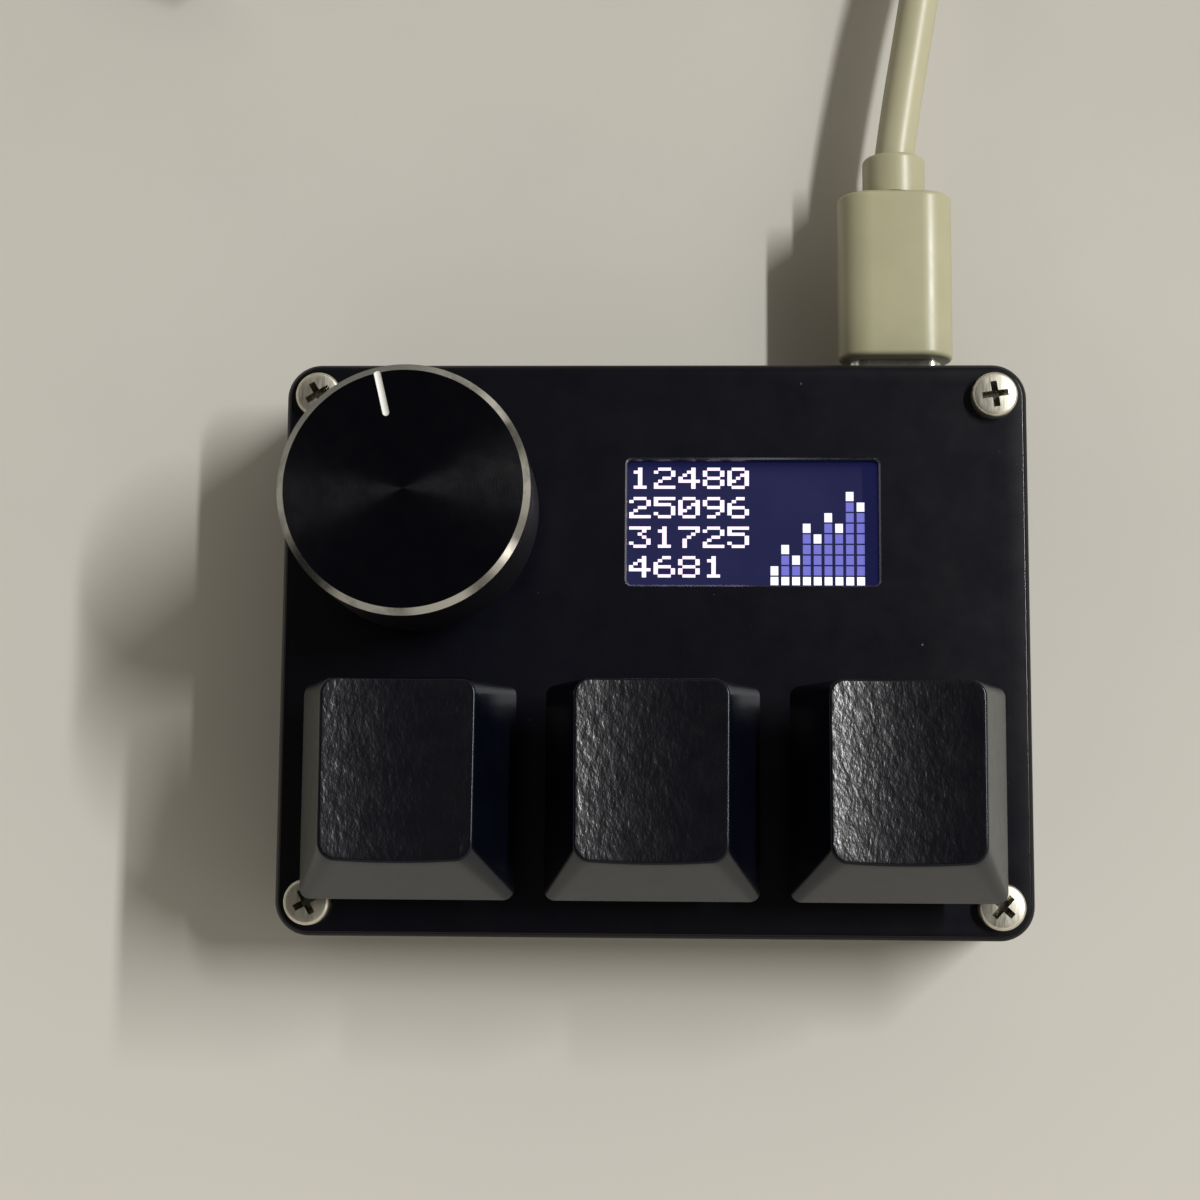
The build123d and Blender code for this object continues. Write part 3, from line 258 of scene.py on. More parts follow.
PLUG_CREAM = (0.395, 0.377, 0.242)
CABLE_CREAM = (0.430, 0.407, 0.272)

FINISHES = {
    "case": anodised("case_anodised"),
    "plate": anodised("plate_anodised"),
    "screw_steel": brushed("screw_nickel", (0.78, 0.75, 0.64), 0.37),
    "rubber": moulded("foot_rubber", (0.030, 0.030, 0.031), 0.75, 0.4 * MM, 0.03 * MM),
    "board": moulded("board_mask", (0.008, 0.012, 0.010), 0.35, 0.8 * MM, 0.01 * MM),
    "chip": moulded("chip_epoxy", (0.025, 0.025, 0.026), 0.6, 0.12 * MM, 0.01 * MM),
    "socket_steel": brushed("socket_steel", (0.60, 0.60, 0.58), 0.30),
    "tongue": moulded("tongue_black", (0.02, 0.02, 0.02), 0.5),
    "foam": foam("screen_foam", (0.015, 0.015, 0.016)),
    "backlight": moulded("backlight_white", (0.80, 0.80, 0.80), 0.5),
    "connector": moulded("connector_ivory", (0.62, 0.57, 0.45), 0.5),
    "flex": moulded("flex_film", (0.40, 0.19, 0.05), 0.3, 1.0 * MM, 0.01 * MM),
    "encoder_plastic": moulded("encoder_black", (0.03, 0.03, 0.03), 0.5),
    "encoder_metal": brushed("encoder_zinc", (0.55, 0.55, 0.54), 0.35, 0.3 * MM, (1, 1, 1)),
    "terminal": brushed("terminal_tin", (0.72, 0.70, 0.65), 0.25),
    "spring_steel": brushed("spring_steel", (0.60, 0.60, 0.60), 0.25, 0.1 * MM, (1, 1, 1)),
    "rotor": moulded("rotor_white", (0.75, 0.75, 0.70), 0.5),
    "shaft_metal": brushed("shaft_aluminium", (0.70, 0.70, 0.70), 0.30),
    "grub": brushed("grub_black", (0.09, 0.09, 0.095), 0.4),
    "switch_base": moulded("switch_base_black", (0.022, 0.022, 0.024), 0.5),
    "switch_cover": moulded("switch_cover_black", (0.030, 0.030, 0.033), 0.4),
    "switch_stem": moulded("switch_stem_white", (0.62, 0.62, 0.58), 0.42),
    "magnet": brushed("magnet_nickel", (0.66, 0.65, 0.62), 0.2, 0.3 * MM, (1, 1, 1)),
    "keycap": keycap_side(),
    "plug_steel": brushed("plug_nickel", (0.70, 0.69, 0.66), 0.22),
    "plug_body": moulded("plug_cream", PLUG_CREAM, 0.36, 0.25 * MM, 0.004 * MM, 0.93),
    "cable": moulded("cable_cream", CABLE_CREAM, 0.38, 0.35 * MM, 0.006 * MM, 0.94),
}


# -------------------- carried-over nodes
for subpart in frame["record"]["subparts"]:
    finish = FINISHES.get(subpart["material_slot"])
    if finish:
        node = frame["nodes"][subpart["node"]]
        for slot in node.material_slots:
            slot.material = finish


# ==================== mesh tools
def piece(name, verts, faces, materials, indices=None, crease=CREASE):
    """A smooth-shaded mesh object whose edges stay sharp where they fold by more than `crease`."""
    mesh = bpy.data.meshes.new(name)
    mesh.from_pydata([tuple(v) for v in verts], [], faces)
    for material in materials:
        mesh.materials.append(material)
    if indices:
        mesh.polygons.foreach_set("material_index", indices)
    work = bmesh.new()
    work.from_mesh(mesh)
    bmesh.ops.recalc_face_normals(work, faces=work.faces)
    work.to_mesh(mesh)
    work.free()
    mesh.shade_smooth()
    mesh.set_sharp_from_angle(angle=math.radians(crease))
    made = bpy.data.objects.new(name, mesh)
    bpy.context.collection.objects.link(made)
    return made


def band(ring, following, count):
    """Faces between two rings of `count` points, named by their places in the list of rings."""
    faces = []
    for step in range(count):
        beside = (step + 1) % count
        faces.append((
            ring * count + step, ring * count + beside,
            following * count + beside, following * count + step,
        ))
    return faces


def round_point(centre, radius, angle, height):
    """Point at an angle round a vertical axis."""
    return (centre[0] + radius * math.cos(angle), centre[1] + radius * math.sin(angle), height)


def lathe(name, profile, centre, materials, segments=192, crease=CREASE):
    """A closed turned body. The profile is (radius, height, material from here to the next)."""
    verts, faces, indices = [], [], []
    for ring, (radius, height, material) in enumerate(profile):
        for step in range(segments):
            verts.append(round_point(centre, radius, 2 * math.pi * step / segments, height))
        faces += band(ring, (ring + 1) % len(profile), segments)
        indices += [material] * segments
    return piece(name, verts, faces, materials, indices, crease)


def rounded_outline(width, depth, radius, steps=8, back_radius=None, side_steps=1):
    """Points round a rectangle with round corners, anticlockwise from its front right one."""
    arcs = []
    for corner, (sx, sy) in enumerate(((1, -1), (1, 1), (-1, 1), (-1, -1))):
        bend = back_radius if back_radius and sy > 0 else radius
        middle_x, middle_y = sx * (width / 2 - bend), sy * (depth / 2 - bend)
        angles = [math.radians(90 * (corner - 1) + 90 * step / steps) for step in range(steps + 1)]
        arcs.append([
            (middle_x + bend * math.cos(a), middle_y + bend * math.sin(a)) for a in angles
        ])
    points = []
    for corner, arc in enumerate(arcs):
        points += arc
        (start_x, start_y), (end_x, end_y) = arc[-1], arcs[(corner + 1) % 4][0]
        for step in range(1, side_steps):
            share = step / side_steps
            points.append((
                start_x + (end_x - start_x) * share, start_y + (end_y - start_y) * share,
            ))
    return points


def ring_at(outline, centre, height):
    """The outline's points round `centre`, at one height."""
    return [Vector((centre[0] + x, centre[1] + y, height)) for x, y in outline]


def loft(name, rings, materials, indices=None, crease=CREASE):
    """Skin over rings of points, closed by a face at each end."""
    count = len(rings[0])
    verts = [point for ring in rings for point in ring]
    faces = [tuple(range(count))]
    for ring in range(len(rings) - 1):
        faces += band(ring, ring + 1, count)
    faces.append(tuple(range(len(verts) - count, len(verts))))
    return piece(name, verts, faces, materials, indices, crease)


def carve(body, rings, material):
    """Cuts what the rings enclose out of the body for good, and gives the cut the material."""
    cutter = loft("cutter", rings, [material])
    change = body.modifiers.new("carve", "BOOLEAN")
    change.operation = "DIFFERENCE"
    change.solver = "EXACT"
    change.material_mode = "TRANSFER"
    change.object = cutter
    graph = bpy.context.evaluated_depsgraph_get()
    mesh = bpy.data.meshes.new_from_object(body.evaluated_get(graph))
    body.modifiers.clear()
    body.data = mesh
    bpy.data.objects.remove(cutter)
    mesh.shade_smooth()
    mesh.set_sharp_from_angle(angle=math.radians(CREASE))


def middle(node):
    """Middle of a CAD node's box."""
    low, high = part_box(node)
    return (low + high) / 2


# ==================== lead
# Its route in millimetres, as in the source: from the plug to the coil, and on to the far plug.
LEAD_POINTS = (
    (21.83, 45.6, 6.7), (22.5, 50.5, 6.7), (23.7, 57.5, 6.6), (25.1, 66.0, 6.1),
    (27.0, 75.0, 4.6), (29.0, 84.0, 2.6), (30.0, 91.5, 1.8), (30.0, 98.5, 1.8),
)
TAIL_POINTS = (
    (3.5, 125.0, 5.4), (-9.0, 125.0, 5.2), (-22.5, 120.0, 4.5), (-31.5, 110.0, 4.0),
    (-34.6, 102.2, 4.0),
)
CABLE_DIAMETER = 3.6
COIL_CENTRE = (3.5, 98.5)
COIL_TURNS = 7.25
COIL_RADIUS = 20.0
CLIMB_TURNS = 0.25  # turns over which the lead climbs from the table to the upper layer
POINTS_PER_TURN = 16
TABLE_LAYER_Z = 1.8
UPPER_LAYER_Z = 5.4
LAYER_TURNS = COIL_TURNS / 2


def coil_point(turns):
    """Centre of the lead after so many turns: inwards on the table, then outwards on top."""
    inner = min(turns, COIL_TURNS - turns)
    radius = COIL_RADIUS + CABLE_DIAMETER * (LAYER_TURNS / 2 - inner)
    climb = min(max((turns - LAYER_TURNS) / CLIMB_TURNS + 0.5, 0.0), 1.0)
    height = TABLE_LAYER_Z + (UPPER_LAYER_Z - TABLE_LAYER_Z) * climb
    return round_point(COIL_CENTRE, radius, 2 * math.pi * turns, height)


coil_steps = int(COIL_TURNS * POINTS_PER_TURN)
coil_points = [coil_point(step / POINTS_PER_TURN) for step in range(1, coil_steps)]
route = [*LEAD_POINTS, *coil_points, *TAIL_POINTS]

lead_curve = bpy.data.curves.new("lead", "CURVE")
lead_curve.dimensions = "3D"
lead_curve.bevel_depth = CABLE_DIAMETER / 2 * MM
lead_curve.bevel_resolution = 8
lead_curve.use_fill_caps = True
spline = lead_curve.splines.new("NURBS")
spline.points.add(len(route) - 1)
for point, place in zip(spline.points, route):
    point.co = (*(axis * MM for axis in place), 1.0)
spline.order_u = 3
spline.use_endpoint_u = True
spline.resolution_u = 6
lead_curve.materials.append(FINISHES["cable"])
lead = bpy.data.objects.new("lead", lead_curve)
bpy.context.collection.objects.link(lead)
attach(lead, "base")
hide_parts("cable_lead", "cable_coil", "cable_tail")


# ==================== USB plugs
GRIP_CORNER_RADIUS = 3.0 * MM
GRIP_FRONT_ROUND = 0.45 * MM
GRIP_BACK_ROUND = 0.5 * MM
SLEEVE_ROUND = 0.45 * MM


def quarter(steps=6):
    """Angles over a quarter turn."""
    return [math.pi / 2 * step / steps for step in range(steps + 1)]


def rounded_end(length, bend, steps=6):
    """Stations (distance, inset) that round off the end of a bar."""
    return [
        (length - bend * (1 - math.sin(a)), bend * (1 - math.cos(a))) for a in quarter(steps)
    ]


def plug_part(name, stations, section, place):
    """Moulded part of a plug: its section at each (distance, inset). Its own Z runs to the lead."""
    rings = [
        [place @ Vector((x, y, along)) for x, y in section(inset)] for along, inset in stations
    ]
    return loft(name, rings, [FINISHES["plug_body"]], crease=SOFT_CREASE)


def moulded_grip(name, size, place):
    """Grip of a plug: a section with round corners, and rounded ends."""
    width, height, length = size
    stations = [
        (GRIP_FRONT_ROUND * (1 - math.cos(a)), GRIP_FRONT_ROUND * (1 - math.sin(a)))
        for a in quarter()
    ]
    stations += [(length * share, 0.0) for share in (0.25, 0.5, 0.75)]
    stations += rounded_end(length, GRIP_BACK_ROUND)

    def section(inset):
        radius = GRIP_CORNER_RADIUS - inset
        return rounded_outline(width - 2 * inset, height - 2 * inset, radius, 10)

    return plug_part(name, stations, section, place)


def round_sleeve(name, radius, length, place):
    """Round sleeve where the lead enters the grip, with a soft shoulder at its free end."""
    stations = [(0.0, 0.0), (length * 0.5, 0.0), *rounded_end(length, SLEEVE_ROUND, 8)]

    def section(inset):
        return rounded_outline(2 * (radius - inset), 2 * (radius - inset), radius - inset, 16)

    return plug_part(name, stations, section, place)


def along_y(x, y, z):
    """Plane whose own Z runs along +Y of the row."""
    return Matrix.Translation((x, y, z)) @ Euler((math.radians(-90), 0, 0)).to_matrix().to_4x4()


body_low, body_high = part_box("plug_body")
body_size, body_centre = body_high - body_low, middle("plug_body")
plug_body = moulded_grip(
    "plug_grip", (body_size.x, body_size.z, body_size.y),
    along_y(body_centre.x, body_low.y, body_centre.z),
)
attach(plug_body, "base")
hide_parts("plug_body")

collar_low, collar_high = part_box("plug_collar")
plug_collar = round_sleeve(
    "plug_sleeve", (collar_high.x - collar_low.x) / 2, collar_high.y - collar_low.y,
    along_y(body_centre.x, collar_low.y, body_centre.z),
)
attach(plug_collar, "base")
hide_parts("plug_collar")


# ==================== knob
KNOB_RADIUS = 10.3 * MM
KNOB_FOOT_CHAMFER = 0.3 * MM
RING_BEVEL = 0.56 * MM
RING_DROP = 0.47 * MM
SHADED_RING_AZIMUTH = math.radians(122.0)  # side of the bright ring that is painted darkest: painted shade standing in for the dark room it reflects there
POINTER_ANGLE = math.radians(103.4)
POINTER_LENGTH = 3.65 * MM
POINTER_WIDTH = 0.56 * MM
POINTER_DEPTH = 0.14 * MM
POINTER_BAR_RADIUS = 0.35 * MM
GRUB_HOLE_RADIUS = 1.53 * MM
GRUB_HOLE_START = KNOB_RADIUS * 0.45  # inside the wall
PAST_SIDE = KNOB_RADIUS * 1.05  # where the cutters end
BORE_RADIUS = 3.03 * MM
BORE_DEPTH = 10.43 * MM
RECESS_RADIUS = 8.4 * MM
RECESS_DEPTH = 2.6 * MM
BUSHING_RADIUS = 4.3 * MM
BUSHING_DEPTH = 4.1 * MM

knob_centre = middle("knob")


def knob_top():
    """Disc of the knob: black, turned, with gloss drawn out along the rings."""
    finish = turned(
        "knob_disc", (0.0003, 0.0005, 0.0019), 0.24, 0.0, knob_centre, 0.11 * MM, 0.004 * MM, 0.85,
        Anisotropic_Rotation=0.25, Specular_IOR_Level=0.34,
    )
    tangent = finish.nodes.new("ShaderNodeTangent")
    tangent.direction_type = "RADIAL"
    tangent.axis = "Z"
    finish.links.new(tangent.outputs["Tangent"], finish.shader.inputs["Tangent"])
    return finish.material


def knob_side():
    """Side of the knob: satin black with the faint rings of the cutting tool."""
    finish = Finish("knob_side", (0.0018, 0.0018, 0.0032), 0.36)
    rings = finish.stretched((0.02, 0.02, 1.0))
    finish.bump(finish.noise(0.12 * MM, 2.0, rings), 0.004 * MM, 0.5)
    finish.rough(1.2 * MM, 4.0, 0.32, 0.40)
    return finish.material


def bright_cut():
    """Bare aluminium cut bright after the black finish: mirror-like, dulled in patches, and with
    painted shade that darkens it towards one side, standing in for a dark reflection.
    """
    finish = turned(
        "bright_cut", (0.70, 0.70, 0.66), 0.11, 1.0, knob_centre, 0.045 * MM, 0.0008 * MM, 0.3
    )
    finish.mottle(2.6 * MM, 3.0, 0.50, 0.62, (0.47, 0.47, 0.47))
    shaded_side = Vector((math.cos(SHADED_RING_AZIMUTH), math.sin(SHADED_RING_AZIMUTH), 0.0))
    towards = calculate(
        finish.tree, "DOT_PRODUCT", finish.place, shaded_side, kind="ShaderNodeVectorMath"
    )
    axis = shaded_side.dot(Vector((knob_centre[0], knob_centre[1], 0.0)))
    start, end = axis + 0.5 * KNOB_RADIUS, axis + 0.95 * KNOB_RADIUS
    # Painted shade: the ring's colour darkens towards one side of the knob, standing in for the
    # dark part of the room it reflects.
    finish.tint(finish.ramp(towards, start, end), (0.26, 0.265, 0.26))
    return finish.material


def round_bar(stations, place, segments=40):
    """Rings of a round bar along its own X, with a (distance, radius) for each."""
    angles = [2 * math.pi * step / segments for step in range(segments)]
    return [
        [place @ Vector((along, radius * math.cos(a), radius * math.sin(a))) for a in angles]
        for along, radius in stations
    ]


def out_from_axis(height):
    """Plane on the knob's axis at a height, whose own X points out under the pointer."""
    centre = Matrix.Translation((knob_centre.x, knob_centre.y, height))
    return centre @ Matrix.Rotation(POINTER_ANGLE, 4, "Z")


TOP, SIDE, BRIGHT, PAINT = range(4)
knob_finishes = [
    knob_top(), knob_side(), bright_cut(),
    moulded("pointer_paint", (0.74, 0.74, 0.71), 0.5, shade=0.9),
]
foot_z, disc_z = (corner.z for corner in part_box("knob"))
knob = lathe(
    "dial_knob",
    [
        (KNOB_RADIUS - KNOB_FOOT_CHAMFER, foot_z, SIDE),
        (KNOB_RADIUS, foot_z + KNOB_FOOT_CHAMFER, SIDE),
        (KNOB_RADIUS, disc_z - RING_DROP, BRIGHT),
        (KNOB_RADIUS - RING_BEVEL, disc_z, TOP),
        (KNOB_RADIUS * 0.66, disc_z, TOP),
        (KNOB_RADIUS * 0.33, disc_z, TOP),
        (AXIS_GAP, disc_z, TOP),
        (AXIS_GAP, foot_z + BORE_DEPTH, SIDE),
        (BORE_RADIUS, foot_z + BORE_DEPTH, SIDE),
        (BORE_RADIUS, foot_z + BUSHING_DEPTH, SIDE),
        (BUSHING_RADIUS, foot_z + BUSHING_DEPTH, SIDE),
        (BUSHING_RADIUS, foot_z + RECESS_DEPTH, SIDE),
        (RECESS_RADIUS, foot_z + RECESS_DEPTH, SIDE),
        (RECESS_RADIUS, foot_z, SIDE),
    ],
    knob_centre,
    knob_finishes,
    segments=256,
    crease=20.0,
)

pointer_end = KNOB_RADIUS - RING_BEVEL - POINTER_LENGTH + POINTER_WIDTH / 2
ball_nose = [
    (pointer_end - POINTER_BAR_RADIUS * math.cos(a), POINTER_BAR_RADIUS * math.sin(a))
    for a in quarter(10)[1:]
]
pointer_place = out_from_axis(disc_z - POINTER_DEPTH + POINTER_BAR_RADIUS)
pointer_bar = round_bar([*ball_nose, (PAST_SIDE, POINTER_BAR_RADIUS)], pointer_place)
carve(knob, pointer_bar, knob_finishes[PAINT])
grub_stations = [(GRUB_HOLE_START, GRUB_HOLE_RADIUS), (PAST_SIDE, GRUB_HOLE_RADIUS)]
grub_bar = round_bar(grub_stations, out_from_axis(middle("grub_screw").z))
carve(knob, grub_bar, knob_finishes[SIDE])
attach(knob, "dial")
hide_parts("knob")


# ==================== top plate
PLATE_CORNER_RADIUS = 3.0 * MM
SWITCH_HOLE = 14.0 * MM
ENCODER_HOLE = (12.7 * MM, 12.5 * MM)
HOLE_CORNER_RADIUS = 0.02 * MM
SCREW_HOLE_RADIUS = 1.15 * MM
SCREW_HEAD_RADIUS = 2.0 * MM
WINDOW_SIZE = (22.07 * MM, 11.13 * MM)
WINDOW_CORNER_RADIUS = 0.45 * MM
WINDOW_RIM = 0.15 * MM
RIM_SPARE = 0.1 * MM  # how far the rim's cutter runs on past the rim
GLASS_RIGHT_MARGIN = 1.25 * MM
gasket_low, gasket_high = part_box("screen_gasket")
WINDOW_CENTRE = (
    gasket_high.x - GLASS_RIGHT_MARGIN - WINDOW_SIZE[0] / 2,
    (gasket_low.y + gasket_high.y) / 2,
)
screws_low, screws_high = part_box("plate_screws")
SCREW_PLACES = [
    (x, y)
    for x in (screws_low.x + SCREW_HEAD_RADIUS, screws_high.x - SCREW_HEAD_RADIUS)
    for y in (screws_low.y + SCREW_HEAD_RADIUS, screws_high.y - SCREW_HEAD_RADIUS)
]
# Bevel of the edge as (inset, depth below the top) in millimetres: a straight cut whose upper
# corner is broken.
EDGE_PROFILE = (
    (0.0, 0.42), (0.012, 0.37), (0.045, 0.325), (0.25, 0.11), (0.288, 0.077),
    (0.330, 0.047), (0.375, 0.020), (0.42, 0.004), (0.45, 0.0),
)


def plate_edge():
    """Milled bevel round the plate: smoother than the blasted faces beside it."""
    finish = Finish("plate_edge", (0.0012, 0.0013, 0.0030), 0.17, Specular_IOR_Level=0.30)
    finish.rough(1.5 * MM, 4.0, 0.14, 0.20)
    finish.bump(finish.noise(0.2 * MM, 2.0), 0.004 * MM, 0.3)
    finish.mottle(0.8 * MM, 4.0, 0.70, 0.80, (0.012, 0.012, 0.013))
    return finish.material


def window_rim():
    """Rim of the window, cut bright through the black finish and dulled again."""
    finish = Finish("window_rim", (0.42, 0.42, 0.52), 0.26, 1.0)
    finish.rough(1.2 * MM, 4.0, 0.20, 0.32)
    finish.bump(finish.noise(0.15 * MM, 2.0), 0.004 * MM, 0.3)
    return finish.material


def cut_opening(body, place, sections, material):
    """Cuts an opening, given by (outline, height) sections, round `place`."""
    carve(body, [ring_at(outline, place, height) for outline, height in sections], material)


def window_outline(grow):
    """Outline of the window, moved outwards by `grow`."""
    width, depth = (side + 2 * grow for side in WINDOW_SIZE)
    return rounded_outline(width, depth, WINDOW_CORNER_RADIUS + grow)


def top_plate(node):
    """The plate with its milled edge, the window's bright rim and every hole."""
    low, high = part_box(node)
    size, centre = high - low, (low + high) / 2
    blasted, milled, bright = FINISHES["plate"], plate_edge(), window_rim()
    levels = [(0.0, low.z)] + [(inset * MM, high.z - depth * MM) for inset, depth in EDGE_PROFILE]
    rings = []
    for inset, level in levels:
        radius = PLATE_CORNER_RADIUS - inset
        outline = rounded_outline(size.x - 2 * inset, size.y - 2 * inset, radius, 12)
        rings.append(ring_at(outline, centre, level))
    count = len(rings[0])
    # The underside and the side are blasted, the bevel is milled and the top is blasted.
    indices = [0] + [0] * count + [1] * (count * (len(rings) - 2)) + [0]
    plate = loft("plate", rings, [blasted, milled, bright], indices, crease=60.0)

    def through(outline):
        return (outline, low.z - MM), (outline, high.z + MM)

    switch_hole = rounded_outline(SWITCH_HOLE, SWITCH_HOLE, HOLE_CORNER_RADIUS, 1)
    for key in KEYS:
        cut_opening(plate, middle(f"switch_base_{key}"), through(switch_hole), blasted)
    encoder_hole = rounded_outline(*ENCODER_HOLE, HOLE_CORNER_RADIUS, 1)
    cut_opening(plate, middle("encoder_frame"), through(encoder_hole), blasted)
    screw_hole = rounded_outline(2 * SCREW_HOLE_RADIUS, 2 * SCREW_HOLE_RADIUS, SCREW_HOLE_RADIUS)
    for place in SCREW_PLACES:
        cut_opening(plate, place, through(screw_hole), blasted)
    sloped = (
        (window_outline(-RIM_SPARE), high.z - WINDOW_RIM - RIM_SPARE),
        (window_outline(WINDOW_RIM + RIM_SPARE), high.z + RIM_SPARE),
    )
    cut_opening(plate, WINDOW_CENTRE, sloped, bright)
    cut_opening(plate, WINDOW_CENTRE, through(window_outline(0.0)), blasted)
    return plate


plate = top_plate("top_plate")
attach(plate, "base")
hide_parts("top_plate")


# ==================== screws
SCREW_HEAD_HEIGHT = 1.2 * MM
SCREW_RADIUS = 1.0 * MM
SCREW_TIP_RADIUS = SCREW_RADIUS * 0.7
SCREW_TIP_TAPER = 0.4 * MM
SCREW_ROUND = 0.35 * MM
SCREW_DOME_SLOPE = math.radians(8.0)  # at the dome's edge, where the rounding takes over
SCREW_TURNS = (29.0, 31.0, 48.0, 8.0)  # degrees that each cross stands at
# Cross recess as (height from the head's top, reach of an arm, half its width), lower end first.
CROSS_SECTIONS = ((-0.95 * MM, 0.5 * MM, 0.2 * MM), (0.1 * MM, 1.25 * MM, 0.29 * MM))
# Darker steel for the cross recess than for the head: painted shade in the recess.
SCREW_RECESS_SHADE = brushed("screw_recess_painted_shade", (0.30, 0.285, 0.225), 0.26)


def cross_recess(centre, top, angle):
    """Rings of the tapered cross that a driver bit fits."""
    rings = []
    for rise, reach, half_width in CROSS_SECTIONS:
        outline = []
        for quarter_turn in range(4):
            spin = angle + math.pi / 2 * quarter_turn
            for x, y in ((reach, -half_width), (reach, half_width), (half_width, half_width)):
                outline.append(Vector((
                    centre[0] + x * math.cos(spin) - y * math.sin(spin),
                    centre[1] + x * math.sin(spin) + y * math.cos(spin),
                    top + rise,
                )))
        rings.append(outline)
    return rings


def pan_screw(name, centre, seat, tip, angle):
    """Pan-head screw: a low dome, a cross recess and a plain shank."""
    top = seat + SCREW_HEAD_HEIGHT
    last = math.pi / 2 - SCREW_DOME_SLOPE
    dome_radius = SCREW_HEAD_RADIUS - SCREW_ROUND * (1 - math.cos(last))
    dome_height = dome_radius * math.tan(SCREW_DOME_SLOPE) / 2
    round_z = top - dome_height - SCREW_ROUND * math.sin(last)
    outline = [(SCREW_HEAD_RADIUS, seat)]
    for step in range(8):
        a = last * step / 7
        radius = SCREW_HEAD_RADIUS - SCREW_ROUND * (1 - math.cos(a))
        outline.append((radius, round_z + SCREW_ROUND * math.sin(a)))
    for share in (0.85, 0.7, 0.55, 0.4, 0.25, 0.12):
        outline.append((dome_radius * share, top - dome_height * share ** 2))
    outline += [
        (AXIS_GAP, top), (AXIS_GAP, tip),
        (SCREW_TIP_RADIUS, tip), (SCREW_RADIUS, tip + SCREW_TIP_TAPER), (SCREW_RADIUS, seat),
    ]
    profile = [(radius, height, 0) for radius, height in outline]
    steel = [FINISHES["screw_steel"]]
    screw = lathe(name, profile, centre, steel, segments=72, crease=SOFT_CREASE)
    carve(screw, cross_recess(centre, top, angle), SCREW_RECESS_SHADE)
    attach(screw, "base")
    return screw


plate_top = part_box("top_plate")[1].z
for number, (place, degrees) in enumerate(zip(SCREW_PLACES, SCREW_TURNS), 1):
    angle = math.radians(degrees)
    screw = pan_screw(f"plate_screw_{number}", place, plate_top, screws_low.z, angle)
    if number == 1:
        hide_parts("plate_screws")


# ==================== screen
# Each digit is drawn in marks, five across and seven down.
DIGITS = {
    "0": "01110 10001 10011 10101 11001 10001 01110",
    "1": "00100 01100 00100 00100 00100 00100 01110",
    "2": "01110 10001 00001 00110 01000 10000 11111",
    "3": "11111 00010 00100 00010 00001 10001 01110",
    "4": "00010 00110 01010 10010 11111 00010 00010",
    "5": "11111 10000 11110 00001 00001 10001 01110",
    "6": "00110 01000 10000 11110 10001 10001 01110",
    "7": "11111 00001 00010 00100 01000 01000 01000",
    "8": "01110 10001 10001 01110 10001 10001 01110",
    "9": "01110 10001 10001 01111 00001 00010 01100",
}
READOUT = ("12480", "25096", "31725", "4681")
LEVELS = (2, 4, 3, 6, 5, 7, 6, 9, 8)
PIXEL = 0.1357 * MM  # 160 x 80 dots on 21.7 x 10.9 mm
INK_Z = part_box("screen_glass")[1].z + 0.010 * MM
# Sizes and places on the screen, in its own dots from the middle of the window.
READOUT_LEFT, READOUT_TOP, READOUT_PITCH = -80, 38, 19.5
DIGIT_PITCH, MARK_WIDTH, MARK_HEIGHT = 16, 2.8, 2.0
BARS_LEFT, BARS_BOTTOM, BAR_PITCH, BAR_WIDTH, BAR_HEIGHT = 12, -40, 7, 5, 6


def lit(name, color, strength):
    """Glowing ink of the screen, slightly uneven."""
    finish = Finish(name, [0.1 * c for c in color], 0.25)
    finish.glow(color, strength)
    finish.mottle(0.5 * MM, 2.0, 0.3, 0.7, [0.14 * c for c in color])
    return finish.material


def dots(name, rectangles, material):
    """Lit areas of the screen: (left, bottom, right, top) in dots from the window's middle."""
    verts, faces = [], []
    for left, bottom, right, top in rectangles:
        start = len(verts)
        for x, y in ((left, bottom), (right, bottom), (right, top), (left, top)):
            verts.append((WINDOW_CENTRE[0] + x * PIXEL, WINDOW_CENTRE[1] + y * PIXEL, INK_Z))
        faces.append(tuple(range(start, start + 4)))
    lit_area = piece(name, verts, faces, [material])
    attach(lit_area, "base")


def digit_marks(text, left, top):
    """Rectangles of one row of digits, one for each mark."""
    found = []
    for place, sign in enumerate(text):
        for row, line in enumerate(DIGITS[sign].split()):
            for column, mark in enumerate(line):
                if mark == "1":
                    x = left + place * DIGIT_PITCH + column * MARK_WIDTH
                    y = top - (row + 1) * MARK_HEIGHT
                    found.append((x, y, x + MARK_WIDTH, y + MARK_HEIGHT))
    return found


def screen_face():
    """Lit navy face of the screen under glass, with an uneven backlight."""
    finish = Finish(
        "screen_navy", (0.010, 0.011, 0.022), 0.10, Coat_Weight=1.0, Coat_Roughness=0.04
    )
    finish.glow((0.0075, 0.0085, 0.052), 1.0)
    finish.mottle(6 * MM, 3.0, 0.35, 0.7, (0.014, 0.015, 0.032))
    finish.bump(finish.noise(2.5 * MM, 2.0), 0.004 * MM, 0.3)
    return finish.material


readout = []
for row, text in enumerate(READOUT):
    readout += digit_marks(text, READOUT_LEFT, READOUT_TOP - row * READOUT_PITCH)
dots("screen_digits", readout, lit("digit_light", (0.96, 0.80, 1.0), 1.3))

feet, stems, tips = [], [], []
for place, level in enumerate(LEVELS):
    for step in range(level):
        x = BARS_LEFT + place * BAR_PITCH
        y = BARS_BOTTOM + step * BAR_PITCH
        part = tips if step == level - 1 else feet if step == 0 else stems
        part.append((x, y, x + BAR_WIDTH, y + BAR_HEIGHT))
dots("screen_bars", stems, lit("bar_light", (0.17, 0.17, 0.60), 1.0))
dots("screen_bar_feet", feet, lit("bar_foot_light", (0.95, 0.95, 1.0), 1.3))
dots("screen_bar_tops", tips, lit("bar_top_light", (0.85, 0.85, 1.0), 1.2))

for slot in frame["nodes"]["screen_glass"].material_slots:
    slot.material = screen_face()


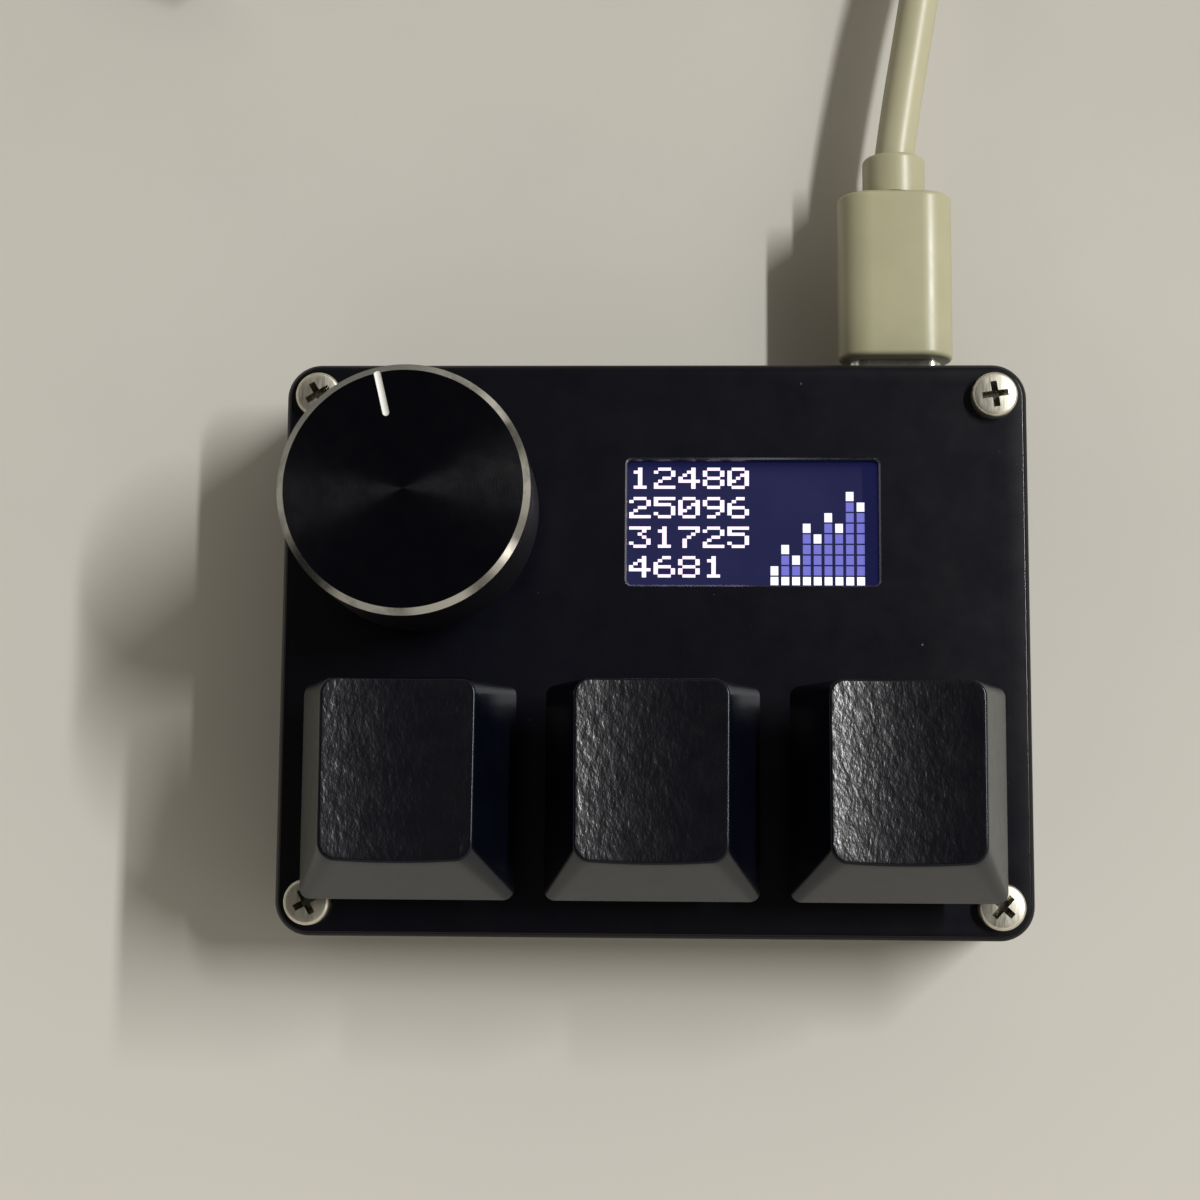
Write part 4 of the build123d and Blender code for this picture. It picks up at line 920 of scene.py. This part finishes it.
# ==================== key caps
CAP_BASE = 18.1 * MM
CAP_BASE_ROUND = 0.9 * MM
CAP_TOP_WIDTH = 12.4 * MM
CAP_TOP_DEPTH = 14.62 * MM
CAP_FRONT_ROUND = 1.45 * MM
CAP_BACK_ROUND = 1.40 * MM
CAP_LEAST_ROUND = 0.3 * MM
CAP_SHIFT = 1.6 * MM
CAP_LOFT_HEIGHT = 8.86 * MM
CAP_MIDDLE_HEIGHT = 8.73 * MM
CAP_SLOPE = 0.26 / 14.62  # the top falls 0.26 mm from its front to its back
CAP_DISH = 0.7 * MM
CAP_WALL = 1.45 * MM
CAP_CEILING = 6.5 * MM
CAP_CEILING_STEP = 2.0 * MM  # from the ceiling's edge in to its middle face
CAP_FOOT_CHAMFER = 0.15 * MM
DISH_RADIUS = ((CAP_TOP_WIDTH / 2) ** 2 + CAP_DISH ** 2) / (2 * CAP_DISH)
EDGE_REACH = 0.24 * MM  # how far the rolled edge reaches down the wall and in over the dish
EDGE_WEIGHT = 0.8
EDGE_STEPS = 6
POST_RADIUS = 2.75 * MM
POST_CHAMFER = 0.15 * MM
POST_SINK = 0.2 * MM  # how far the post runs up into the ceiling
CROSS_LENGTH = 4.04 * MM
CROSS_ARM_X = 1.34 * MM
CROSS_ARM_Y = 1.14 * MM
CROSS_DEPTH = 3.65 * MM
CROSS_SPARE = 0.5 * MM  # how far the cross cutter starts below the post
CAP_TOP_FINISH = keycap_top()


def dish_height(x, y):
    """Height of the dished top above the skirt."""
    edge = CAP_MIDDLE_HEIGHT - CAP_SLOPE * (y - CAP_SHIFT)
    return edge - CAP_DISH + DISH_RADIUS - math.sqrt(DISH_RADIUS ** 2 - x ** 2)


def cap_outline(share, inset=0.0):
    """Outline of the cap a share of the way up its walls."""
    width = CAP_BASE + (CAP_TOP_WIDTH - CAP_BASE) * share - 2 * inset
    depth = CAP_BASE + (CAP_TOP_DEPTH - CAP_BASE) * share - 2 * inset
    front = CAP_BASE_ROUND + (CAP_FRONT_ROUND - CAP_BASE_ROUND) * share - inset
    back = CAP_BASE_ROUND + (CAP_BACK_ROUND - CAP_BASE_ROUND) * share - inset
    front, back = max(front, CAP_LEAST_ROUND), max(back, CAP_LEAST_ROUND)
    outline = rounded_outline(width, depth, front, 8, back, side_steps=14)
    return [(x, y + CAP_SHIFT * share) for x, y in outline]


def wall_tops():
    """For each point of the outline, the share of the walls' height at which it meets the dish."""
    tops = []
    for (low_x, low_y), (high_x, high_y) in zip(cap_outline(0.0), cap_outline(1.0)):
        share = 1.0
        for _ in range(12):
            x = low_x + (high_x - low_x) * share
            y = low_y + (high_y - low_y) * share
            share = min(1.0, dish_height(x, y) / CAP_LOFT_HEIGHT)
        tops.append(share)
    return tops


def cap_point(number, share, inset=0.0):
    """One point of the outline, with its height."""
    x, y = cap_outline(share, inset)[number]
    return Vector((x, y, CAP_LOFT_HEIGHT * share))


def rolled_edge(tops):
    """Rings that roll from the walls over into the dish, as a weighted quadratic curve."""
    lower, corner, upper = [], [], []
    for number, top in enumerate(tops):
        edge = cap_point(number, top)
        wall = (cap_point(number, 0.5) - edge).normalized()
        inner = cap_point(number, top, EDGE_REACH)
        lower.append(edge + wall * EDGE_REACH)
        corner.append(edge)
        upper.append(Vector((inner.x, inner.y, dish_height(inner.x, inner.y))))
    rings = []
    for step in range(EDGE_STEPS + 1):
        u = step / EDGE_STEPS
        weights = ((1 - u) ** 2, 2 * EDGE_WEIGHT * u * (1 - u), u ** 2)
        rings.append([
            (weights[0] * a + weights[1] * b + weights[2] * c) / sum(weights)
            for a, b, c in zip(lower, corner, upper)
        ])
    return rings


def cap_rings():
    """Rings of a cap over the middle of its skirt, and the first of them that has the grain."""
    tops = wall_tops()
    sections = (
        (0.0, CAP_WALL + CAP_CEILING_STEP, CAP_CEILING),
        (CAP_CEILING / CAP_LOFT_HEIGHT, CAP_WALL, CAP_CEILING),
        (0.0, CAP_WALL, 0.0),
        (0.0, CAP_FOOT_CHAMFER, 0.0),
    )
    rings = [ring_at(cap_outline(share, inset), (0, 0), level) for share, inset, level in sections]
    for rise in (0.02, 0.25, 0.5, 0.75, 0.9):
        rings.append([cap_point(number, rise * top) for number, top in enumerate(tops)])
    rings += rolled_edge(tops)
    grain_from = len(rings) - 2
    dish_edge = rings[-1]
    for shrink in (0.97, 0.92, 0.84, 0.74, 0.62, 0.48, 0.32, 0.14):
        ring = []
        for point in dish_edge:
            x, y = point.x * shrink, CAP_SHIFT + (point.y - CAP_SHIFT) * shrink
            ring.append(Vector((x, y, dish_height(x, y))))
        rings.append(ring)
    return rings, grain_from


CAP_RINGS, GRAIN_FROM = cap_rings()


def key_cap(name, centre, skirt):
    """Sculpted cap: plain tapered walls, a rolled edge and a grained dish, hollow underneath."""
    origin = Vector((centre[0], centre[1], skirt))
    rings = [[origin + point for point in ring] for ring in CAP_RINGS]
    indices = [0]
    for number in range(len(rings) - 1):
        indices += [1 if number >= GRAIN_FROM else 0] * len(rings[0])
    indices.append(1)
    return loft(name, rings, [FINISHES["keycap"], CAP_TOP_FINISH], indices, crease=40.0)


def cap_post(name, centre, bottom, ceiling):
    """Round post under the cap, with the cross socket that the stem presses into."""
    profile = [
        (POST_RADIUS - POST_CHAMFER, bottom, 0), (POST_RADIUS, bottom + POST_CHAMFER, 0),
        (POST_RADIUS, ceiling, 0), (AXIS_GAP, ceiling, 0), (AXIS_GAP, bottom, 0),
    ]
    post = lathe(name, profile, centre, [FINISHES["keycap"]], segments=72)
    reach, arm_x, arm_y = CROSS_LENGTH / 2, CROSS_ARM_X / 2, CROSS_ARM_Y / 2
    half = (
        (reach, -arm_x), (reach, arm_x), (arm_y, arm_x),
        (arm_y, reach), (-arm_y, reach), (-arm_y, arm_x),
    )
    cross = [*half, *((-x, -y) for x, y in half)]
    levels = (bottom - CROSS_SPARE, bottom + CROSS_DEPTH)
    carve(post, [ring_at(cross, centre, level) for level in levels], FINISHES["keycap"])
    return post


for key in KEYS:
    centre, skirt = middle(f"keycap_{key}"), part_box(f"keycap_{key}")[0].z
    cap = key_cap(f"cap_{key}", centre, skirt)
    post_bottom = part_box(f"switch_cover_{key}")[1].z
    post = cap_post(f"cap_post_{key}", centre, post_bottom, skirt + CAP_CEILING + POST_SINK)
    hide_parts(f"keycap_{key}")
    for made in (cap, post):
        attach(made, f"key_{key}")


# ==================== return springs and click dome
SPRING_WIRE = 0.36 * MM
SPRING_TURNS = 4
STEPS_PER_TURN = 28
WIRE_SIDES = 10
DOME_THICKNESS = 0.15 * MM
DOME_VENT = 0.3 * MM  # radius
DOME_STEPS = 9


def coil_spring(name, low, high):
    """Compression spring of round wire that fills the box from low to high."""
    centre = (low + high) / 2
    wire = SPRING_WIRE / 2
    radius = (high.x - low.x) / 2 - wire
    height = high.z - low.z - 2 * wire
    slope = height / (2 * math.pi * radius * SPRING_TURNS)
    sides = [2 * math.pi * side / WIRE_SIDES for side in range(WIRE_SIDES)]
    rings = []
    for step in range(SPRING_TURNS * STEPS_PER_TURN + 1):
        turn = step / STEPS_PER_TURN
        angle = 2 * math.pi * turn
        out = Vector((math.cos(angle), math.sin(angle), 0.0))
        along = Vector((-out.y, out.x, slope)).normalized()
        down = along.cross(out)
        rise = low.z + wire + height * turn / SPRING_TURNS
        place = Vector((centre.x, centre.y, rise)) + out * radius
        rings.append([place + (out * math.cos(a) + down * math.sin(a)) * wire for a in sides])
    return loft(name, rings, [FINISHES["spring_steel"]])


def click_dome(name, low, high):
    """Thin domed disc with a vent in its middle."""
    centre = (low + high) / 2
    radius, height = (high.x - low.x) / 2, high.z - low.z
    outer, under = [], []
    for step in range(DOME_STEPS + 1):
        s = step / DOME_STEPS
        r, z = radius + (DOME_VENT - radius) * s, low.z + height * (1 - (1 - s) ** 2)
        outer.append((r, z, 0))
        under.append((r - 2 * DOME_THICKNESS * (1 - s), max(low.z, z - DOME_THICKNESS), 0))
    steel = [FINISHES["spring_steel"]]
    return lathe(name, outer + under[::-1], centre, steel, segments=64, crease=60.0)


for key in KEYS:
    low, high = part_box(f"switch_spring_{key}")
    spring = coil_spring(f"return_spring_{key}", low, high)
    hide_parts(f"switch_spring_{key}")
    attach(spring, "base")
    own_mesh(spring)

low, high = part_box("encoder_dome")
dome = click_dome("click_dome", low, high)
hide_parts("encoder_dome")
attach(dome, "base")
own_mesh(dome)


# ==================== stage
FLOOR_HALF_SIDE = 2.5
FLOOR_Z = -0.01 * MM  # just clear of the feet


def paper():
    """Pale, warm, slightly mottled paper, with painted light that makes it a little lighter towards
    the front.
    """
    finish = Finish("paper", (0.495, 0.482, 0.436), 0.85)
    finish.mottle(45 * MM, 5.0, 0.35, 0.7, (0.530, 0.516, 0.467))
    along = finish.nodes.new("ShaderNodeSeparateXYZ")
    finish.links.new(finish.place, along.inputs[0])
    # Painted light: the paper's colour grows lighter towards the front, standing in for more light
    # falling there.
    finish.tint(finish.ramp(along.outputs["Y"], 0.07, -0.07), (0.600, 0.586, 0.533))
    finish.bump(finish.noise(0.7 * MM, 4.0), 0.03 * MM, 0.35)
    return finish.material


corners = ((-1, -1), (1, -1), (1, 1), (-1, 1))
floor = piece(
    "floor",
    [(x * FLOOR_HALF_SIDE, y * FLOOR_HALF_SIDE, FLOOR_Z) for x, y in corners],
    [(0, 1, 2, 3)],
    [paper()],
)


# ==================== light
# A tube lamp above the keypad's right, aimed at it. Its place is given as slopes from there, and
# its long side runs as near to +Y as its aim allows.
TUBE_HEIGHT = 2.0
TUBE_WIDTH = 0.065
TUBE_POWER = 60.0
TUBE_SLOPE_X = 0.80
TUBE_SLOPES_Y = (0.05, 0.65)

tube_light = bpy.data.lights.new("tube", "AREA")
tube_light.shape = "RECTANGLE"
tube_light.size = TUBE_WIDTH
tube_light.size_y = (TUBE_SLOPES_Y[1] - TUBE_SLOPES_Y[0]) * TUBE_HEIGHT
tube_light.energy = TUBE_POWER
tube = bpy.data.objects.new("tube", tube_light)
place = Vector((TUBE_SLOPE_X, sum(TUBE_SLOPES_Y) / 2, 1.0)) * TUBE_HEIGHT
back = place.normalized()
side = Vector((0, 1, 0)).cross(back).normalized()
axes = Matrix((side, back.cross(side).normalized(), back)).transposed()
tube.matrix_world = Matrix.Translation(place) @ axes.to_4x4()
bpy.context.collection.objects.link(tube)

# In a direction (x, y, z) the room's strength is ROOM_LEVEL + ROOM_X x + ROOM_Y y + ROOM_YY y y.
# It rises by WALL_LIGHT over WALL_RISE of z, and fades over CEILING_EDGE.
ROOM_COLOR = (1.0, 0.93, 0.81)
ROOM_LEVEL, ROOM_X, ROOM_Y, ROOM_YY = 0.325, 0.075, -0.128, -0.113
WALL_LIGHT = 0.56
WALL_RISE = (0.25, 0.60)
CEILING_LEAN = -0.14  # of the ceiling's edge along X
CEILING_EDGE = (0.62, 0.86)
CEILING_SHARE = 0.05  # of the light that is left there
# Lighter and darker things in the room, as the knob's bright ring shows them: azimuth,
# elevation and radius in degrees, and how much is added in the middle.
ROOM_PATCHES = (
    (-25.0, 18.0, 9.0, 1.15), (-49.0, 19.0, 12.0, -0.34), (-12.0, 16.0, 12.0, -0.20),
    (15.0, 12.0, 12.0, 0.14), (37.0, 8.5, 12.0, -0.12), (55.0, 4.0, 13.0, 0.42),
    (78.0, 0.0, 14.0, 0.16), (-98.0, 16.5, 9.0, -0.16), (-152.0, 7.5, 23.0, -0.275),
)


def room_light():
    """A room with bright upper walls under a dark ceiling, a little lighter at the front."""
    world = bpy.data.worlds.new("room")
    bpy.context.scene.world = world
    world.use_nodes = True
    tree = world.node_tree

    def add(a, b):
        return calculate(tree, "ADD", a, b)

    def times(a, b):
        return calculate(tree, "MULTIPLY", a, b)

    def smooth(value, low, high, start, end):
        return map_range(tree, value, low, high, start, end, "SMOOTHSTEP")

    def patch(azimuth, elevation, radius, amount):
        """A lighter or darker patch of the room, fading from its middle to `radius` degrees."""
        azimuth, elevation = math.radians(azimuth), math.radians(elevation)
        level = math.cos(elevation)
        towards = (level * math.cos(azimuth), level * math.sin(azimuth), math.sin(elevation))
        near = calculate(tree, "DOT_PRODUCT", outward, towards, kind="ShaderNodeVectorMath")
        return smooth(near, math.cos(math.radians(radius)), 1.0, 0.0, amount)

    outward = tree.nodes.new("ShaderNodeTexCoord").outputs["Generated"]
    direction = tree.nodes.new("ShaderNodeSeparateXYZ")
    tree.links.new(outward, direction.inputs[0])
    x, y, z = direction.outputs
    light = add(add(times(x, ROOM_X), ROOM_LEVEL), times(y, ROOM_Y))
    light = add(light, times(times(y, y), ROOM_YY))
    light = add(light, times(smooth(z, *WALL_RISE, 0.0, 1.0), WALL_LIGHT))
    for spot in ROOM_PATCHES:
        light = add(light, patch(*spot))
    leaning = add(z, times(x, CEILING_LEAN))
    light = times(light, smooth(leaning, *CEILING_EDGE, 1.0, CEILING_SHARE))
    background = tree.nodes["Background"]
    tree.links.new(calculate(tree, "MAXIMUM", light, 0.0), background.inputs["Strength"])
    background.inputs["Color"].default_value = (*ROOM_COLOR, 1.0)


room_light()

bpy.context.scene.view_settings.view_transform = "Standard"
